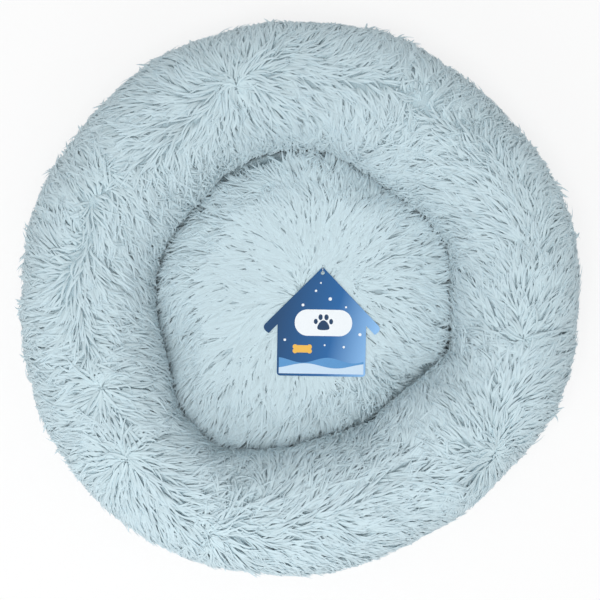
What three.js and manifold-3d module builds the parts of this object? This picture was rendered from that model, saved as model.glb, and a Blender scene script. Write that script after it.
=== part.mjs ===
// Round donut pet bed: a long-pile ring sewn round a crowned cushion, on an anti-slip base with a zip.
// Millimetres, +Z up. The origin is on the floor, under the middle of the bed.

import * as THREE from 'three';
import { mergeVertices } from 'three/addons/utils/BufferGeometryUtils.js';
import Module from 'manifold-3d';

const wasm = await Module();
wasm.setup();

// The bed as a whole, measured to the tips of the pile
const bedRadius = 350;
const creviceRadius = 187;
const ringHeight = 168;
const crownHeight = 75;
const seamHeight = 40;

// Clearances between sewn or resting pieces
const seatGap = 0.3;
const fillingGap = 0.5;
const overrun = 5;

// Covers: pile and backing together
const ringCoverThickness = 28;
const cushionCoverThickness = 22;
const ringLipThickness = 5;
const cushionLipThickness = 3;

// Base cloth: flat under the ring, arched a little under the cushion
const baseRadius = 298;
const baseThickness = 1.2;
const archHeight = 10;
const archRadius = 168;
const archSlopeLength = 27;
const baseLap = 2;

// Hidden bands of tape and non-woven cloth
const bindingThickness = 2;
const bindingHeight = 8;
const wallSeat = 6;
const wallRadius = archRadius + archSlopeLength + wallSeat;
const wallThickness = 1.2;
const creviceTapeWidth = 16;
const creviceTapeThickness = 1.2;

// Zip in the base, along X
const zipLength = 260;
const zipTapeWidth = 13;
const zipTapeThickness = 0.8;
const zipTapeSpare = 10;
const zipSlotWidth = 12;
const coilGap = 1.4;
const coilWidth = 2.7;
const coilHeight = 2.4;
const stopLength = 3;

// Slider and pull, on the underside
const sliderLength = 14;
const sliderWidth = 10.5;
const sliderNoseWidth = 7.5;
const sliderPlate = 1.2;
const sliderWall = 1.2;
const sliderPost = 0.8;
const bridgeLength = 9;
const bridgeWidth = 1.6;
const bridgeBar = 0.9;
const bridgeOpening = 2;
const pullLength = 24;
const pullWidth = 7;
const pullEyeWidth = 2.6;
const pullEyeSpare = 1.2;
const pullThickness = 1.1;
const pullFloorGap = 0.4;
const pullEndRadius = 2.5;

// Blank woven care label beside the zip
const labelWidth = 24;
const labelLength = 42;
const labelThickness = 0.5;
const labelZipGap = 6;

// Card hang tag in the shape of a house
const cardWallWidth = 111;
const cardRoofSpan = 149;
const cardHeight = 137;
const cardEaveDrop = 76;
const cardEaveRadius = 4;
const cardCornerRadius = 5;
const cardThickness = 0.8;
const cardHoleRadius = 2.4;
const cardHoleInset = 7.6;
const cardLift = 0.6;
const cardApexX = 28;
const cardApexY = 39.5;
const cardTurn = THREE.MathUtils.degToRad(-1);

// Nylon loop pin that holds the tag
const loopRadius = 4.75;
const loopWire = 1.2;
const loopDepth = 19;
const loopHeadSize = 3.2;
const loopPitGap = 0.35;

// Steps round the bed, along a section and round a filament
const turnSteps = 48;
const ringSectionSteps = 12;
const cushionSectionSteps = 9;
const wireSides = 8;
const loopArcSteps = 10;
const cornerSteps = 4;

const fullTurn = Math.PI * 2;
const quarterTurn = Math.PI / 2;

// Lumps of the stuffed ring, read once round from +X: its outline, the crevice and the crest's height
const outlineShares = [
  1.0, 1.012, 0.989, 0.988, 0.995, 0.998, 1.007, 0.991, 1.009,
  1.005, 1.023, 1.036, 1.032, 0.998, 0.977, 0.954, 0.971, 1.0,
];
const creviceShares = [
  1.0, 1.05, 0.985, 0.945, 1.0, 1.0, 0.98, 0.94, 0.985,
  0.98, 0.975, 1.1, 1.16, 1.01, 0.945, 0.92, 0.93, 1.07,
];
const crestShares = [1.0, 0.985, 0.99, 0.975, 0.99, 1.0, 0.98, 0.99, 1.0, 0.985, 0.97, 0.985];

// Ring section from the base seam out, over the crest and down to the crevice seam:
// shares of the ring's width, counted from the crevice, and of its height
const crestShare = 0.485;
const creviceSeamShare = 0.03;
const ringSectionShares = [
  [0.8, 0.016], [0.905, 0.075], [0.975, 0.22], [1.0, 0.45], [0.963, 0.68], [0.85, 0.865],
  [0.675, 0.973], [crestShare, 1.0], [0.295, 0.955], [0.135, 0.835], [0.035, 0.68], [0.0, 0.5],
  [0.0, 0.345],
];
const ringWidth = bedRadius - creviceRadius;
const crestRadius = creviceRadius + ringWidth * crestShare;

// Cushion section from its sewn edge in to the middle:
// shares of the crevice radius, and of the rise from the seam to the crown
const cushionSectionShares = [
  [0.98, 0.03], [0.993, 0.3], [0.98, 0.55], [0.92, 0.79], [0.79, 0.915], [0.58, 0.975],
  [0.3, 1.0], [0.0, 1.0],
];

// The lumps grow from nothing at the base to their full size at this height,
// and fade out inside the radius of the still middle
const lumpHeight = 60;
const stillRadius = 100;

// Levels worked out from the sizes above
const bandFoot = baseThickness + seatGap;
const archTop = archHeight + baseThickness;
const tapeTop = seamHeight + creviceTapeThickness / 2;
const wallTop = seamHeight - creviceTapeThickness / 2 - seatGap;
const lumpFoot = archTop + seatGap;
const zipTapeFoot = lumpFoot;
const zipTapeTop = zipTapeFoot + zipTapeThickness;
const coilTop = zipTapeFoot - seatGap;
const coilFoot = coilTop - coilHeight;
const cardFoot = crownHeight + cardLift;
const cardMiddle = cardFoot + cardThickness / 2;

const bed = new THREE.Group();

function addPiece(name, geometry, color, roughness, metalness, parent = bed) {
  const material = new THREE.MeshStandardMaterial({ color, roughness, metalness });
  const mesh = new THREE.Mesh(geometry, material);
  mesh.name = name;
  parent.add(mesh);
  return mesh;
}

function flat(radius, height) {
  return new THREE.Vector2(radius, height);
}

// Smooth reading of a table of shares that runs once round the bed
function roundTable(shares) {
  const points = shares.map((share) => new THREE.Vector3(share, 0, 0));
  const curve = new THREE.CatmullRomCurve3(points, true, 'catmullrom', 0.5);
  return (angle) => curve.getPoint(angle / fullTurn).x;
}

const outlineAt = roundTable(outlineShares);
const creviceAt = roundTable(creviceShares);
const crestAt = roundTable(crestShares);

// Where a point of a section lies once the stuffing has pushed it in or out
function lumped(radius, height, angle) {
  const grown = THREE.MathUtils.clamp((height - lumpFoot) / (lumpHeight - lumpFoot), 0, 1);
  const outward = THREE.MathUtils.clamp((radius - crestRadius) / (bedRadius - crestRadius), 0, 1);
  const fade = radius < creviceRadius ? creviceRadius - stillRadius : crestRadius - creviceRadius;
  const beside = Math.max(0, 1 - Math.abs(radius - creviceRadius) / fade);
  const outlineMove = bedRadius * (outlineAt(angle) - 1);
  const creviceMove = creviceRadius * (creviceAt(angle) - 1);
  return { radius: radius + grown * (outward * outlineMove + beside * creviceMove), height };
}

function ringLumped(radius, height, angle) {
  const spot = lumped(radius, height, angle);
  const above = THREE.MathUtils.clamp((height - lumpHeight) / (ringHeight - lumpHeight), 0, 1);
  spot.height += ringHeight * (crestAt(angle) - 1) * above;
  return spot;
}

function unlumped(radius, height) {
  return { radius, height };
}

// Closed body swept once round Z from an outline of radius and height that runs anticlockwise.
// An outline that starts on the axis ends on it too, and otherwise closes on itself.
// Facing skins run opposite ways, so the diagonal of a face follows the way its outline rises.
function turned(outline, place) {
  const positions = [];
  const rings = outline.map((point) => {
    const start = positions.length / 3;
    const count = point.x === 0 ? 1 : turnSteps;
    for (let step = 0; step < count; step += 1) {
      const angle = fullTurn * step / turnSteps;
      const spot = place(point.x, point.y, angle);
      positions.push(spot.radius * Math.cos(angle), spot.radius * Math.sin(angle), spot.height);
    }
    return { start, count };
  });
  const rises = outline.map((point, row) => {
    const next = outline[(row + 1) % outline.length];
    return next.x + next.y > point.x + point.y;
  });
  const faces = [];
  const rows = outline[0].x === 0 ? rings.length - 1 : rings.length;
  for (let row = 0; row < rows; row += 1) {
    const lower = rings[row];
    const upper = rings[(row + 1) % rings.length];
    for (let step = 0; step < turnSteps; step += 1) {
      const a = lower.start + step % lower.count;
      const b = lower.start + (step + 1) % lower.count;
      const c = upper.start + (step + 1) % upper.count;
      const d = upper.start + step % upper.count;
      const isPole = lower.count === 1 || upper.count === 1;
      if (isPole || rises[row]) {
        if (lower.count > 1) faces.push(a, b, c);
        if (upper.count > 1) faces.push(a, c, d);
      } else {
        faces.push(a, b, d, b, c, d);
      }
    }
  }
  const geometry = new THREE.BufferGeometry();
  geometry.setAttribute('position', new THREE.Float32BufferAttribute(positions, 3));
  geometry.setIndex(faces);
  return geometry;
}

// Points along a smooth section and the skin inside it, at a depth that swells from the lip.
// A section swells until fullAt, the share of its length where it is thickest, or to its middle and back.
function skins(shares, toPoint, steps, lipThickness, thickness, fullAt, gap) {
  const curve = new THREE.SplineCurve(shares.map(toPoint));
  const outer = [];
  const inner = [];
  for (let step = 0; step <= steps; step += 1) {
    const share = step / steps;
    const point = curve.getPointAt(share);
    const tangent = curve.getTangentAt(share);
    const swell = Math.sqrt(Math.max(0, Math.sin(Math.PI * Math.min(share, fullAt))));
    const depth = lipThickness + (thickness - lipThickness) * swell + gap;
    outer.push(point);
    inner.push(flat(point.x - tangent.y * depth, point.y + tangent.x * depth));
  }
  return { outer, inner };
}

function onlyPositions(geometry) {
  const bare = geometry.clone();
  bare.deleteAttribute('normal');
  bare.deleteAttribute('uv');
  return mergeVertices(bare);
}

function toSolid(geometry) {
  const merged = onlyPositions(geometry);
  const vertProperties = Float32Array.from(merged.attributes.position.array);
  const triVerts = Uint32Array.from(merged.index.array);
  return new wasm.Manifold(new wasm.Mesh({ numProp: 3, vertProperties, triVerts }));
}

function toGeometry(solid) {
  const mesh = solid.getMesh();
  const geometry = new THREE.BufferGeometry();
  geometry.setAttribute('position', new THREE.BufferAttribute(mesh.vertProperties, 3));
  geometry.setIndex(new THREE.BufferAttribute(mesh.triVerts, 1));
  return geometry;
}

// Block between two corners
function block(low, high) {
  const size = high.map((value, axis) => value - low[axis]);
  const middle = high.map((value, axis) => (value + low[axis]) / 2);
  return new THREE.BoxGeometry(...size).translate(...middle);
}

// Upright round plug, for a cut
function plug(radius, x, y, foot, top) {
  const cylinder = new THREE.CylinderGeometry(radius, radius, top - foot, turnSteps / 2);
  return cylinder.rotateX(quarterTurn).translate(x, y, (top + foot) / 2);
}

// Ring cover: a C-shaped shell of pile on its backing, open below where the base closes it
const toRingPoint = ([across, up]) => flat(creviceRadius + ringWidth * across, ringHeight * up);
const ringStart = [(baseRadius - baseLap - creviceRadius) / ringWidth, bandFoot / ringHeight];
const ringEnd = [creviceSeamShare, (tapeTop + seatGap) / ringHeight];
const ringShares = [ringStart, ...ringSectionShares, ringEnd];

function ringSkins(gap) {
  return skins(ringShares, toRingPoint, ringSectionSteps, ringLipThickness, ringCoverThickness, 1, gap);
}

function bolsterCover() {
  const { outer, inner } = ringSkins(0);
  return turned([...outer, ...inner.reverse()], ringLumped);
}

// Cushion cover: a crowned disc drawn down to its sewn edge, with a round pit where the loop pin goes in
const cushionRise = crownHeight - seamHeight;
const cushionFullShare = 0.5;
const toCushionPoint = ([out, up]) => flat(creviceRadius * out, seamHeight + cushionRise * up);

function cushionSkins(gap) {
  const made = skins(
    cushionSectionShares, toCushionPoint, cushionSectionSteps,
    cushionLipThickness, cushionCoverThickness, cushionFullShare, gap,
  );
  for (const skin of [made.outer, made.inner]) {
    const middle = skin[skin.length - 1];
    middle.x = 0;
    middle.y = skin[skin.length - 2].y;
  }
  return made;
}

const pivotDrop = cardHoleInset - loopRadius;
const pivotX = cardApexX + Math.sin(cardTurn) * pivotDrop;
const pivotY = cardApexY - Math.cos(cardTurn) * pivotDrop;
const pitRadius = loopRadius + loopWire / 2 + loopPitGap;
const pitFoot = cardMiddle - loopDepth - loopWire / 2 - loopPitGap;

function cushionCover() {
  const { outer, inner } = cushionSkins(0);
  const dome = turned([...inner.reverse(), ...outer], lumped);
  const pit = plug(pitRadius, pivotX, pivotY, pitFoot, crownHeight + overrun);
  return toGeometry(toSolid(dome).subtract(toSolid(pit)));
}

// Stuffing of the ring, between its cover, the base, the edge binding and the inner wall
const wallOuter = wallRadius + wallThickness / 2;
const wallInner = wallRadius - wallThickness / 2;
const bindingOuter = baseRadius - baseLap - fillingGap;
const bindingInner = bindingOuter - bindingThickness;

function bolsterFilling() {
  const { inner } = ringSkins(fillingGap);
  const bindingTop = bandFoot + bindingHeight + fillingGap;
  const shelf = flat(bindingInner - fillingGap, bindingTop);
  const foot = flat(bindingInner - fillingGap, bandFoot + seatGap);
  const side = wallOuter + fillingGap;
  const wallFoot = flat(side, bandFoot + seatGap);
  const wallSide = [
    flat(side, tapeTop + fillingGap), flat(side, wallTop - fillingGap), flat(side, lumpFoot),
  ];
  return turned([wallFoot, foot, shelf, ...inner.slice(1), ...wallSide], ringLumped);
}

// Stuffing of the cushion, with a groove where the zip lies under it
function cushionFilling() {
  const { inner } = cushionSkins(fillingGap);
  const side = wallInner - fillingGap;
  const shoulder = wallTop - fillingGap;
  const foot = [
    flat(0, lumpFoot),
    flat(archRadius, lumpFoot),
    flat(archRadius + archSlopeLength, bandFoot + seatGap),
    flat(side, bandFoot + seatGap),
    flat(side, lumpFoot),
  ];
  const edge = [flat(side, shoulder), flat(inner[0].x + cushionLipThickness, shoulder)];
  const pad = turned([...foot, ...edge, ...inner], lumped);
  const grooveX = zipLength / 2 + zipTapeSpare + overrun;
  const grooveY = coilGap / 2 + zipTapeWidth + fillingGap;
  const grooveTop = zipTapeTop + seatGap + sliderPlate + fillingGap;
  const groove = block([-grooveX, -grooveY, 0], [grooveX, grooveY, grooveTop]);
  return toGeometry(toSolid(pad).subtract(toSolid(groove)));
}

// Upright band or flat ring of tape with a rectangular section
function band(inner, outer, foot, top, place) {
  return turned([flat(inner, foot), flat(outer, foot), flat(outer, top), flat(inner, top)], place);
}

function innerWall() {
  return turned([
    flat(wallInner, bandFoot), flat(wallOuter, bandFoot), flat(wallOuter, lumpFoot),
    flat(wallOuter, wallTop), flat(wallInner, wallTop), flat(wallInner, lumpFoot),
  ], lumped);
}

function creviceTape() {
  const outer = wallOuter;
  return band(outer - creviceTapeWidth, outer, tapeTop - creviceTapeThickness, tapeTop, lumped);
}

// Half of the base cloth, cut out for the zip
function baseHalf(side) {
  const slopeEnd = archRadius + archSlopeLength;
  const disc = turned([
    flat(0, archHeight), flat(archRadius, archHeight), flat(slopeEnd, 0), flat(baseRadius, 0),
    flat(baseRadius, baseThickness), flat(slopeEnd, baseThickness),
    flat(archRadius, archTop), flat(0, archTop),
  ], unlumped);
  const reach = baseRadius + overrun;
  const otherLow = side < 0 ? -seatGap / 2 : -reach;
  const otherHigh = side < 0 ? reach : seatGap / 2;
  const otherHalf = block([-reach, otherLow, -overrun], [reach, otherHigh, archTop + overrun]);
  const slotX = zipLength / 2;
  const slotY = zipSlotWidth / 2;
  const slot = block([-slotX, -slotY, -overrun], [slotX, slotY, archTop + overrun]);
  return toGeometry(toSolid(disc).subtract(toSolid(otherHalf)).subtract(toSolid(slot)));
}

function zipTape(side) {
  const reach = zipLength / 2 + zipTapeSpare;
  const edges = [side * coilGap / 2, side * (coilGap / 2 + zipTapeWidth)].sort((a, b) => a - b);
  return block([-reach, edges[0], zipTapeFoot], [reach, edges[1], zipTapeTop]);
}

// Coil of one side as a bar with a rounded underside
const coilReach = zipLength / 2 - stopLength - seatGap * 2;

function zipCoil(side) {
  const section = new THREE.Shape();
  const near = side * coilGap / 2;
  const far = side * (coilGap / 2 + coilWidth);
  const middle = (near + far) / 2;
  const round = coilHeight / 2;
  section.moveTo(near, coilTop);
  section.lineTo(near, coilFoot + round);
  section.quadraticCurveTo(near, coilFoot, middle, coilFoot);
  section.quadraticCurveTo(far, coilFoot, far, coilFoot + round);
  section.lineTo(far, coilTop);
  return alongX(section, -coilReach, coilReach);
}

function extruded(shape, depth) {
  return new THREE.ExtrudeGeometry(shape, { depth, bevelEnabled: false, curveSegments: cornerSteps });
}

// Extrusion along X of a shape drawn in Y and Z
function alongX(shape, from, to) {
  return extruded(shape, to - from).rotateZ(quarterTurn).rotateY(quarterTurn).translate(from, 0, 0);
}

// Extrusion along Z of a shape drawn in X and Y
function alongZ(shape, from, to) {
  return extruded(shape, to - from).translate(0, 0, from);
}

// Extrusion along Y, half its width to each side, of a shape drawn in X and Z
function alongY(shape, width) {
  return extruded(shape, width).rotateX(quarterTurn).translate(0, width / 2, 0);
}

function polygon(points) {
  return new THREE.Shape(points.map(([x, y]) => new THREE.Vector2(x, y)));
}

function zipStop(from) {
  const half = coilGap / 2 + coilWidth;
  return block([from, -half, coilFoot], [from + stopLength, half, coilTop]);
}

// Slider: two plates joined by a post between the coils, side walls round them and a bridge below
const sliderLow = coilFoot - seatGap - sliderPlate;
const sliderEnd = coilReach - seatGap;
const sliderMiddle = sliderEnd - sliderLength / 2;
const pinHeight = sliderLow - bridgeOpening / 2;

function zipSlider() {
  const half = sliderWidth / 2;
  const channel = half - sliderWall;
  const post = sliderPost / 2;
  const shelf = sliderLow + sliderPlate;
  const lid = zipTapeTop + seatGap;
  const wallHead = coilTop - seatGap;
  const right = [
    [half, sliderLow], [half, wallHead], [channel, wallHead], [channel, shelf], [post, shelf],
    [post, lid], [half, lid], [half, lid + sliderPlate],
  ];
  const left = right.map(([y, z]) => [-y, z]).reverse();
  const body = alongX(polygon([...right, ...left]), -sliderLength / 2, sliderLength / 2);
  const nose = sliderNoseWidth / 2;
  const end = sliderLength / 2;
  const plan = polygon([[-end, -nose], [0, -half], [end, -half], [end, half], [0, half], [-end, nose]]);
  const trimmed = toSolid(body).intersect(toSolid(alongZ(plan, -overrun, lid + overrun)));
  const foot = sliderLow - bridgeOpening - bridgeBar;
  const outside = bridgeLength / 2;
  const inside = outside - bridgeBar;
  const root = sliderLow + sliderPlate / 2;
  const bar = foot + bridgeBar;
  const bridge = alongY(polygon([
    [-outside, root], [-outside, bar], [-inside, foot], [inside, foot], [outside, bar],
    [outside, root], [inside, root], [inside, bar], [-inside, bar], [-inside, root],
  ]), bridgeWidth);
  return toGeometry(trimmed.add(toSolid(bridge)));
}

// Pull tab: its pin lies in the bridge, and it hangs with its tip just over the floor
const pullHang = Math.asin((pinHeight - pullThickness / 2 - pullFloorGap) / pullLength);

function zipPull() {
  const half = pullWidth / 2;
  const root = pullThickness / 2;
  const plan = new THREE.Shape();
  plan.moveTo(root, -half);
  plan.lineTo(root, half);
  plan.lineTo(-pullLength + pullEndRadius, half);
  plan.quadraticCurveTo(-pullLength, half, -pullLength, half - pullEndRadius);
  plan.lineTo(-pullLength, -half + pullEndRadius);
  plan.quadraticCurveTo(-pullLength, -half, -pullLength + pullEndRadius, -half);
  const eye = pullEyeWidth / 2;
  const eyeEnd = -bridgeLength / 2 - pullEyeSpare;
  const eyeHole = polygon([[-root, -eye], [eyeEnd, -eye], [eyeEnd, eye], [-root, eye]]);
  plan.holes.push(eyeHole);
  return alongZ(plan, -pullThickness / 2, pullThickness / 2);
}

function careLabel() {
  const near = zipLength / 2 + labelZipGap;
  const top = archHeight - seatGap;
  const edge = -seatGap / 2;
  return block([near, edge - labelLength, top - labelThickness], [near + labelWidth, edge, top]);
}

// Outline of the house, from its apex at the origin down -Y
function cardShape() {
  const eaveX = cardRoofSpan / 2;
  const wallX = cardWallWidth / 2;
  const tip = cardEaveRadius;
  const slope = cardEaveDrop / eaveX;
  const tipFoot = -cardEaveDrop - tip * 2;
  const wallHead = tipFoot + (eaveX - tip * 2 - wallX) * slope;
  const corner = cardCornerRadius;
  const shape = new THREE.Shape();
  shape.moveTo(0, 0);
  shape.lineTo(-eaveX + tip, -cardEaveDrop + tip * slope);
  shape.quadraticCurveTo(-eaveX - tip / 2, -cardEaveDrop - tip / 2, -eaveX + tip * 2, tipFoot);
  shape.lineTo(-wallX, wallHead);
  shape.lineTo(-wallX, -cardHeight + corner);
  shape.quadraticCurveTo(-wallX, -cardHeight, -wallX + corner, -cardHeight);
  shape.lineTo(wallX - corner, -cardHeight);
  shape.quadraticCurveTo(wallX, -cardHeight, wallX, -cardHeight + corner);
  shape.lineTo(wallX, wallHead);
  shape.lineTo(eaveX - tip * 2, tipFoot);
  shape.quadraticCurveTo(eaveX + tip / 2, -cardEaveDrop - tip / 2, eaveX - tip, -cardEaveDrop + tip * slope);
  const hole = new THREE.Path();
  hole.absarc(0, -cardHoleInset, cardHoleRadius, 0, fullTurn, true);
  shape.holes.push(hole);
  return shape;
}

// Filament that closes on itself along points in the Y-Z plane
function closedWire(points, radius) {
  const positions = [];
  points.forEach((point, index) => {
    const before = points[(index + points.length - 1) % points.length];
    const after = points[(index + 1) % points.length];
    const along = new THREE.Vector2().subVectors(after, before).normalize();
    for (let side = 0; side < wireSides; side += 1) {
      const angle = fullTurn * side / wireSides;
      const out = radius * Math.cos(angle);
      positions.push(radius * Math.sin(angle), point.x + along.y * out, point.y - along.x * out);
    }
  });
  const faces = [];
  points.forEach((point, index) => {
    const here = index * wireSides;
    const there = (index + 1) % points.length * wireSides;
    for (let side = 0; side < wireSides; side += 1) {
      const next = (side + 1) % wireSides;
      faces.push(here + side, there + side, there + next, here + side, there + next, here + next);
    }
  });
  const geometry = new THREE.BufferGeometry();
  geometry.setAttribute('position', new THREE.Float32BufferAttribute(positions, 3));
  geometry.setIndex(faces);
  return geometry;
}

// Loop pin: a half round over the tag's edge, two legs down into the pile and a small lock head
function tagLoop() {
  const points = [];
  for (let step = 0; step <= loopArcSteps; step += 1) {
    const angle = Math.PI * step / loopArcSteps;
    points.push(flat(loopRadius * Math.cos(angle), loopRadius * Math.sin(angle)));
  }
  const lowMiddle = -loopDepth + loopRadius;
  for (let step = 0; step <= loopArcSteps; step += 1) {
    const angle = Math.PI * (1 + step / loopArcSteps);
    points.push(flat(loopRadius * Math.cos(angle), lowMiddle + loopRadius * Math.sin(angle)));
  }
  const wire = toSolid(closedWire(points, loopWire / 2));
  const half = loopHeadSize / 2;
  const head = block([-half, -half, -loopDepth - loopWire / 2], [half, half, -loopDepth + loopHeadSize]);
  return toGeometry(wire.add(toSolid(head)));
}

// Cover, stuffing and the bands that part them
addPiece('bolster_cover', bolsterCover(), 0xc6dbe3, 0.95, 0);
addPiece('cushion_cover', cushionCover(), 0xc6dbe3, 0.95, 0);
addPiece('bolster_filling', bolsterFilling(), 0xf4f4f0, 1, 0);
addPiece('cushion_filling', cushionFilling(), 0xf4f4f0, 1, 0);
addPiece('inner_wall', innerWall(), 0xe6e8e6, 0.95, 0);
addPiece('crevice_tape', creviceTape(), 0x4c5a60, 0.95, 0);

// Base, with its binding and blank label
addPiece('base_front', baseHalf(-1), 0x9aa6aa, 0.9, 0);
addPiece('base_rear', baseHalf(1), 0x9aa6aa, 0.9, 0);
const binding = band(bindingInner, bindingOuter, bandFoot, bandFoot + bindingHeight, unlumped);
addPiece('base_binding', binding, 0x8b979c, 0.9, 0);
addPiece('care_label', careLabel(), 0xf3f3f1, 0.8, 0);

// Zip
addPiece('zip_tape_front', zipTape(-1), 0x8b979c, 0.85, 0);
addPiece('zip_tape_rear', zipTape(1), 0x8b979c, 0.85, 0);
addPiece('zip_coil_front', zipCoil(-1), 0x7f8c92, 0.5, 0);
addPiece('zip_coil_rear', zipCoil(1), 0x7f8c92, 0.5, 0);
addPiece('zip_top_stop', zipStop(coilReach + seatGap), 0xb8bcbe, 0.35, 1);
addPiece('zip_bottom_stop', zipStop(-coilReach - seatGap - stopLength), 0xb8bcbe, 0.35, 1);
const slider = addPiece('zip_slider', zipSlider(), 0xb8bcbe, 0.35, 1);
slider.position.x = sliderMiddle;
const pull = addPiece('zip_pull', zipPull(), 0xb8bcbe, 0.35, 1);
pull.position.set(sliderMiddle, 0, pinHeight);
pull.rotation.y = -pullHang;

// Hang tag, turned a little as it lies
const tag = new THREE.Group();
tag.rotation.z = cardTurn;
tag.position.set(cardApexX, cardApexY, 0);
bed.add(tag);
addPiece('tag_card', alongZ(cardShape(), cardFoot, cardFoot + cardThickness), 0x2a6aa8, 0.3, 0, tag);
const loop = addPiece('tag_loop', tagLoop(), 0xf2f4f4, 0.3, 0, tag);
loop.position.set(0, -pivotDrop, cardMiddle);

export default bed;
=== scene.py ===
"""The looks of a round long-pile pet bed: a stuffed ring of pile round a crowned cushion, on a base
with a zip and a card hang tag. Sizes are named in millimetres and turned to metres in the meshes."""

import functools
import math

import bmesh
import bpy
import numpy as np
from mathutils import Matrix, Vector, noise


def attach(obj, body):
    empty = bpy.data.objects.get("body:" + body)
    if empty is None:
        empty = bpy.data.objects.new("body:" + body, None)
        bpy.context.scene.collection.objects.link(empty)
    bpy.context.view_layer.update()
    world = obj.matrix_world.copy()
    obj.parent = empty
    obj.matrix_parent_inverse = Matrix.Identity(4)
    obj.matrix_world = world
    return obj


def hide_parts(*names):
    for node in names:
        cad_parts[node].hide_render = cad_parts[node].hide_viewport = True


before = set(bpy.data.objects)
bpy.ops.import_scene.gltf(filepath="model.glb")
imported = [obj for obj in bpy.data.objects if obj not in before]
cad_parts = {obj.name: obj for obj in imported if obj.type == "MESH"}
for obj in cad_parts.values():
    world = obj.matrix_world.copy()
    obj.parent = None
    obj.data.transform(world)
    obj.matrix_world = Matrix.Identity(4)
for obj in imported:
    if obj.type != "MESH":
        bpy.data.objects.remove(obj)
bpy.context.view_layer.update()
scene = bpy.context.scene
MM = 0.001

# Camera
# It looks straight down on the bed from high above, with a long lens, and the bed's own middle
# lies a little right of and above the middle of the picture.
CAMERA_HEIGHT = 3200
PICTURE_WIDTH = 751
OUTLINE_LEVEL = 80
PICTURE_MIDDLE = (-0.6, -1.9)

camera_data = bpy.data.cameras.new("camera")
camera_data.sensor_width = 36
camera_data.lens = camera_data.sensor_width * (CAMERA_HEIGHT - OUTLINE_LEVEL) / PICTURE_WIDTH
camera_data.clip_end = 20
camera = bpy.data.objects.new("camera", camera_data)
camera.location = (PICTURE_MIDDLE[0] * MM, PICTURE_MIDDLE[1] * MM, CAMERA_HEIGHT * MM)
scene.collection.objects.link(camera)
scene.camera = camera

# Ring cover, the knitted backing that the pile grows from
# Polyester knit, sewn to a C-shaped tube round the stuffing. It lies a pile's depth inside the tips
# of the pile, and closes on the base below and on the crevice seam inside.
BED_RADIUS = 350
CREVICE_RADIUS = 187
SEAM_HEIGHT = 40
LUMP_FOOT = 11.5
LUMP_HEIGHT = 60
STILL_RADIUS = 100
RING_HEIGHT = 168
CREST_SHARE = 0.485
RING_PILE_DEPTH = 10
LIP_PILE_DEPTH = 4
LIP_SHARE = 0.07
# The ring's hem stops this far from the crevice seam, so that the dark seam tape shows between the hems as
# painted shade in the crevice
RING_HEM_GAP = 4.5
HEM_HEIGHT = 41.6
RING_TURNS = 140
RING_ROWS = 30
SMOOTH_STEPS = 600
FILL_ROOM = 1.5
FILL_MOST = 6
RING_FILL_PRESSURE = 12
FILL_FRAMES = 20
LUMP_SIZE = 75
LUMP_DEPTH = 5
MERGE_GAP = 0.001

# Each table of shares runs once round the bed from the right, anticlockwise
OUTLINE_SHARES = (
    1.0, 1.012, 0.989, 0.988, 0.995, 0.998, 1.007, 0.991, 1.009,
    1.005, 1.023, 1.036, 1.032, 0.998, 0.977, 0.954, 0.971, 1.0,
)
CREVICE_SHARES = (
    1.02, 1.06, 0.98, 0.945, 1.01, 1.01, 0.985, 0.94, 0.985,
    0.98, 0.985, 1.115, 1.175, 1.05, 0.95, 0.93, 0.94, 1.08,
)
CREST_SHARES = (1.0, 0.985, 0.99, 0.975, 0.99, 1.0, 0.98, 0.99, 1.0, 0.985, 0.97, 0.985)
# The section, as shares of the ring's width and height, from the base up and over to the crevice
RING_SECTION_SHARES = (
    (0.66, 0.009), (0.8, 0.016), (0.905, 0.075), (0.975, 0.22), (1.0, 0.45), (0.963, 0.68),
    (0.85, 0.865), (0.675, 0.973), (CREST_SHARE, 1.0), (0.295, 0.955), (0.135, 0.835),
    (0.035, 0.68), (0.0, 0.5), (0.0, 0.345), (0.03, 0.244),
)
RING_WIDTH = BED_RADIUS - CREVICE_RADIUS
CREST_RADIUS = CREVICE_RADIUS + RING_WIDTH * CREST_SHARE


def eased(a, b, c, d, f):
    """The smooth line through four neighbours, at a share f of the way from b to c."""
    return b + 0.5 * f * (c - a + f * (2 * a - 5 * b + 4 * c - d + f * (3 * (b - c) + d - a)))


def read_round(shares, turn):
    """Smooth reading of a table of shares that runs once round the bed, at turns from 0 to 1."""
    table = np.asarray(shares, float)
    place = np.asarray(turn) % 1 * len(table)
    low = np.floor(place).astype(int)
    return eased(*(table[(low + step) % len(table)] for step in (-1, 0, 1, 2)), place - low)


def smooth_section(points, rows):
    """Points evenly along the smooth line through a section's points, and the normals to its left."""
    ends = np.vstack([points[:1], points, points[-1:]])
    place = np.linspace(0, len(points) - 1, SMOOTH_STEPS)[:-1]
    low = place.astype(int)
    line = eased(*(ends[low + step] for step in range(4)), (place - low)[:, None])
    line = np.vstack([line, points[-1:]])
    along = np.concatenate([[0], np.cumsum(np.linalg.norm(np.diff(line, axis=0), axis=1))])
    even = np.linspace(0, along[-1], rows)
    spots = np.stack([np.interp(even, along, line[:, axis]) for axis in (0, 1)], 1)
    tangent = np.gradient(spots, axis=0)
    tangent /= np.linalg.norm(tangent, axis=1)[:, None]
    return spots, np.stack([-tangent[:, 1], tangent[:, 0]], 1)


def skin_section(outline, rows, pile_depth, two_lips):
    """The section of a backing, a pile's depth inside a cover's outline, and that depth at its rows.
    The pile is shorter at a lip, where the cover is sewn."""
    line, inward = smooth_section(outline, rows)
    share = np.linspace(0, 1, rows)
    if two_lips:
        share = np.minimum(share, 1 - share)
    swell = np.sqrt(share.clip(0, LIP_SHARE) / LIP_SHARE)
    depth = LIP_PILE_DEPTH + (pile_depth - LIP_PILE_DEPTH) * swell
    return line + inward * (depth + FILL_ROOM * swell)[:, None], depth


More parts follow.
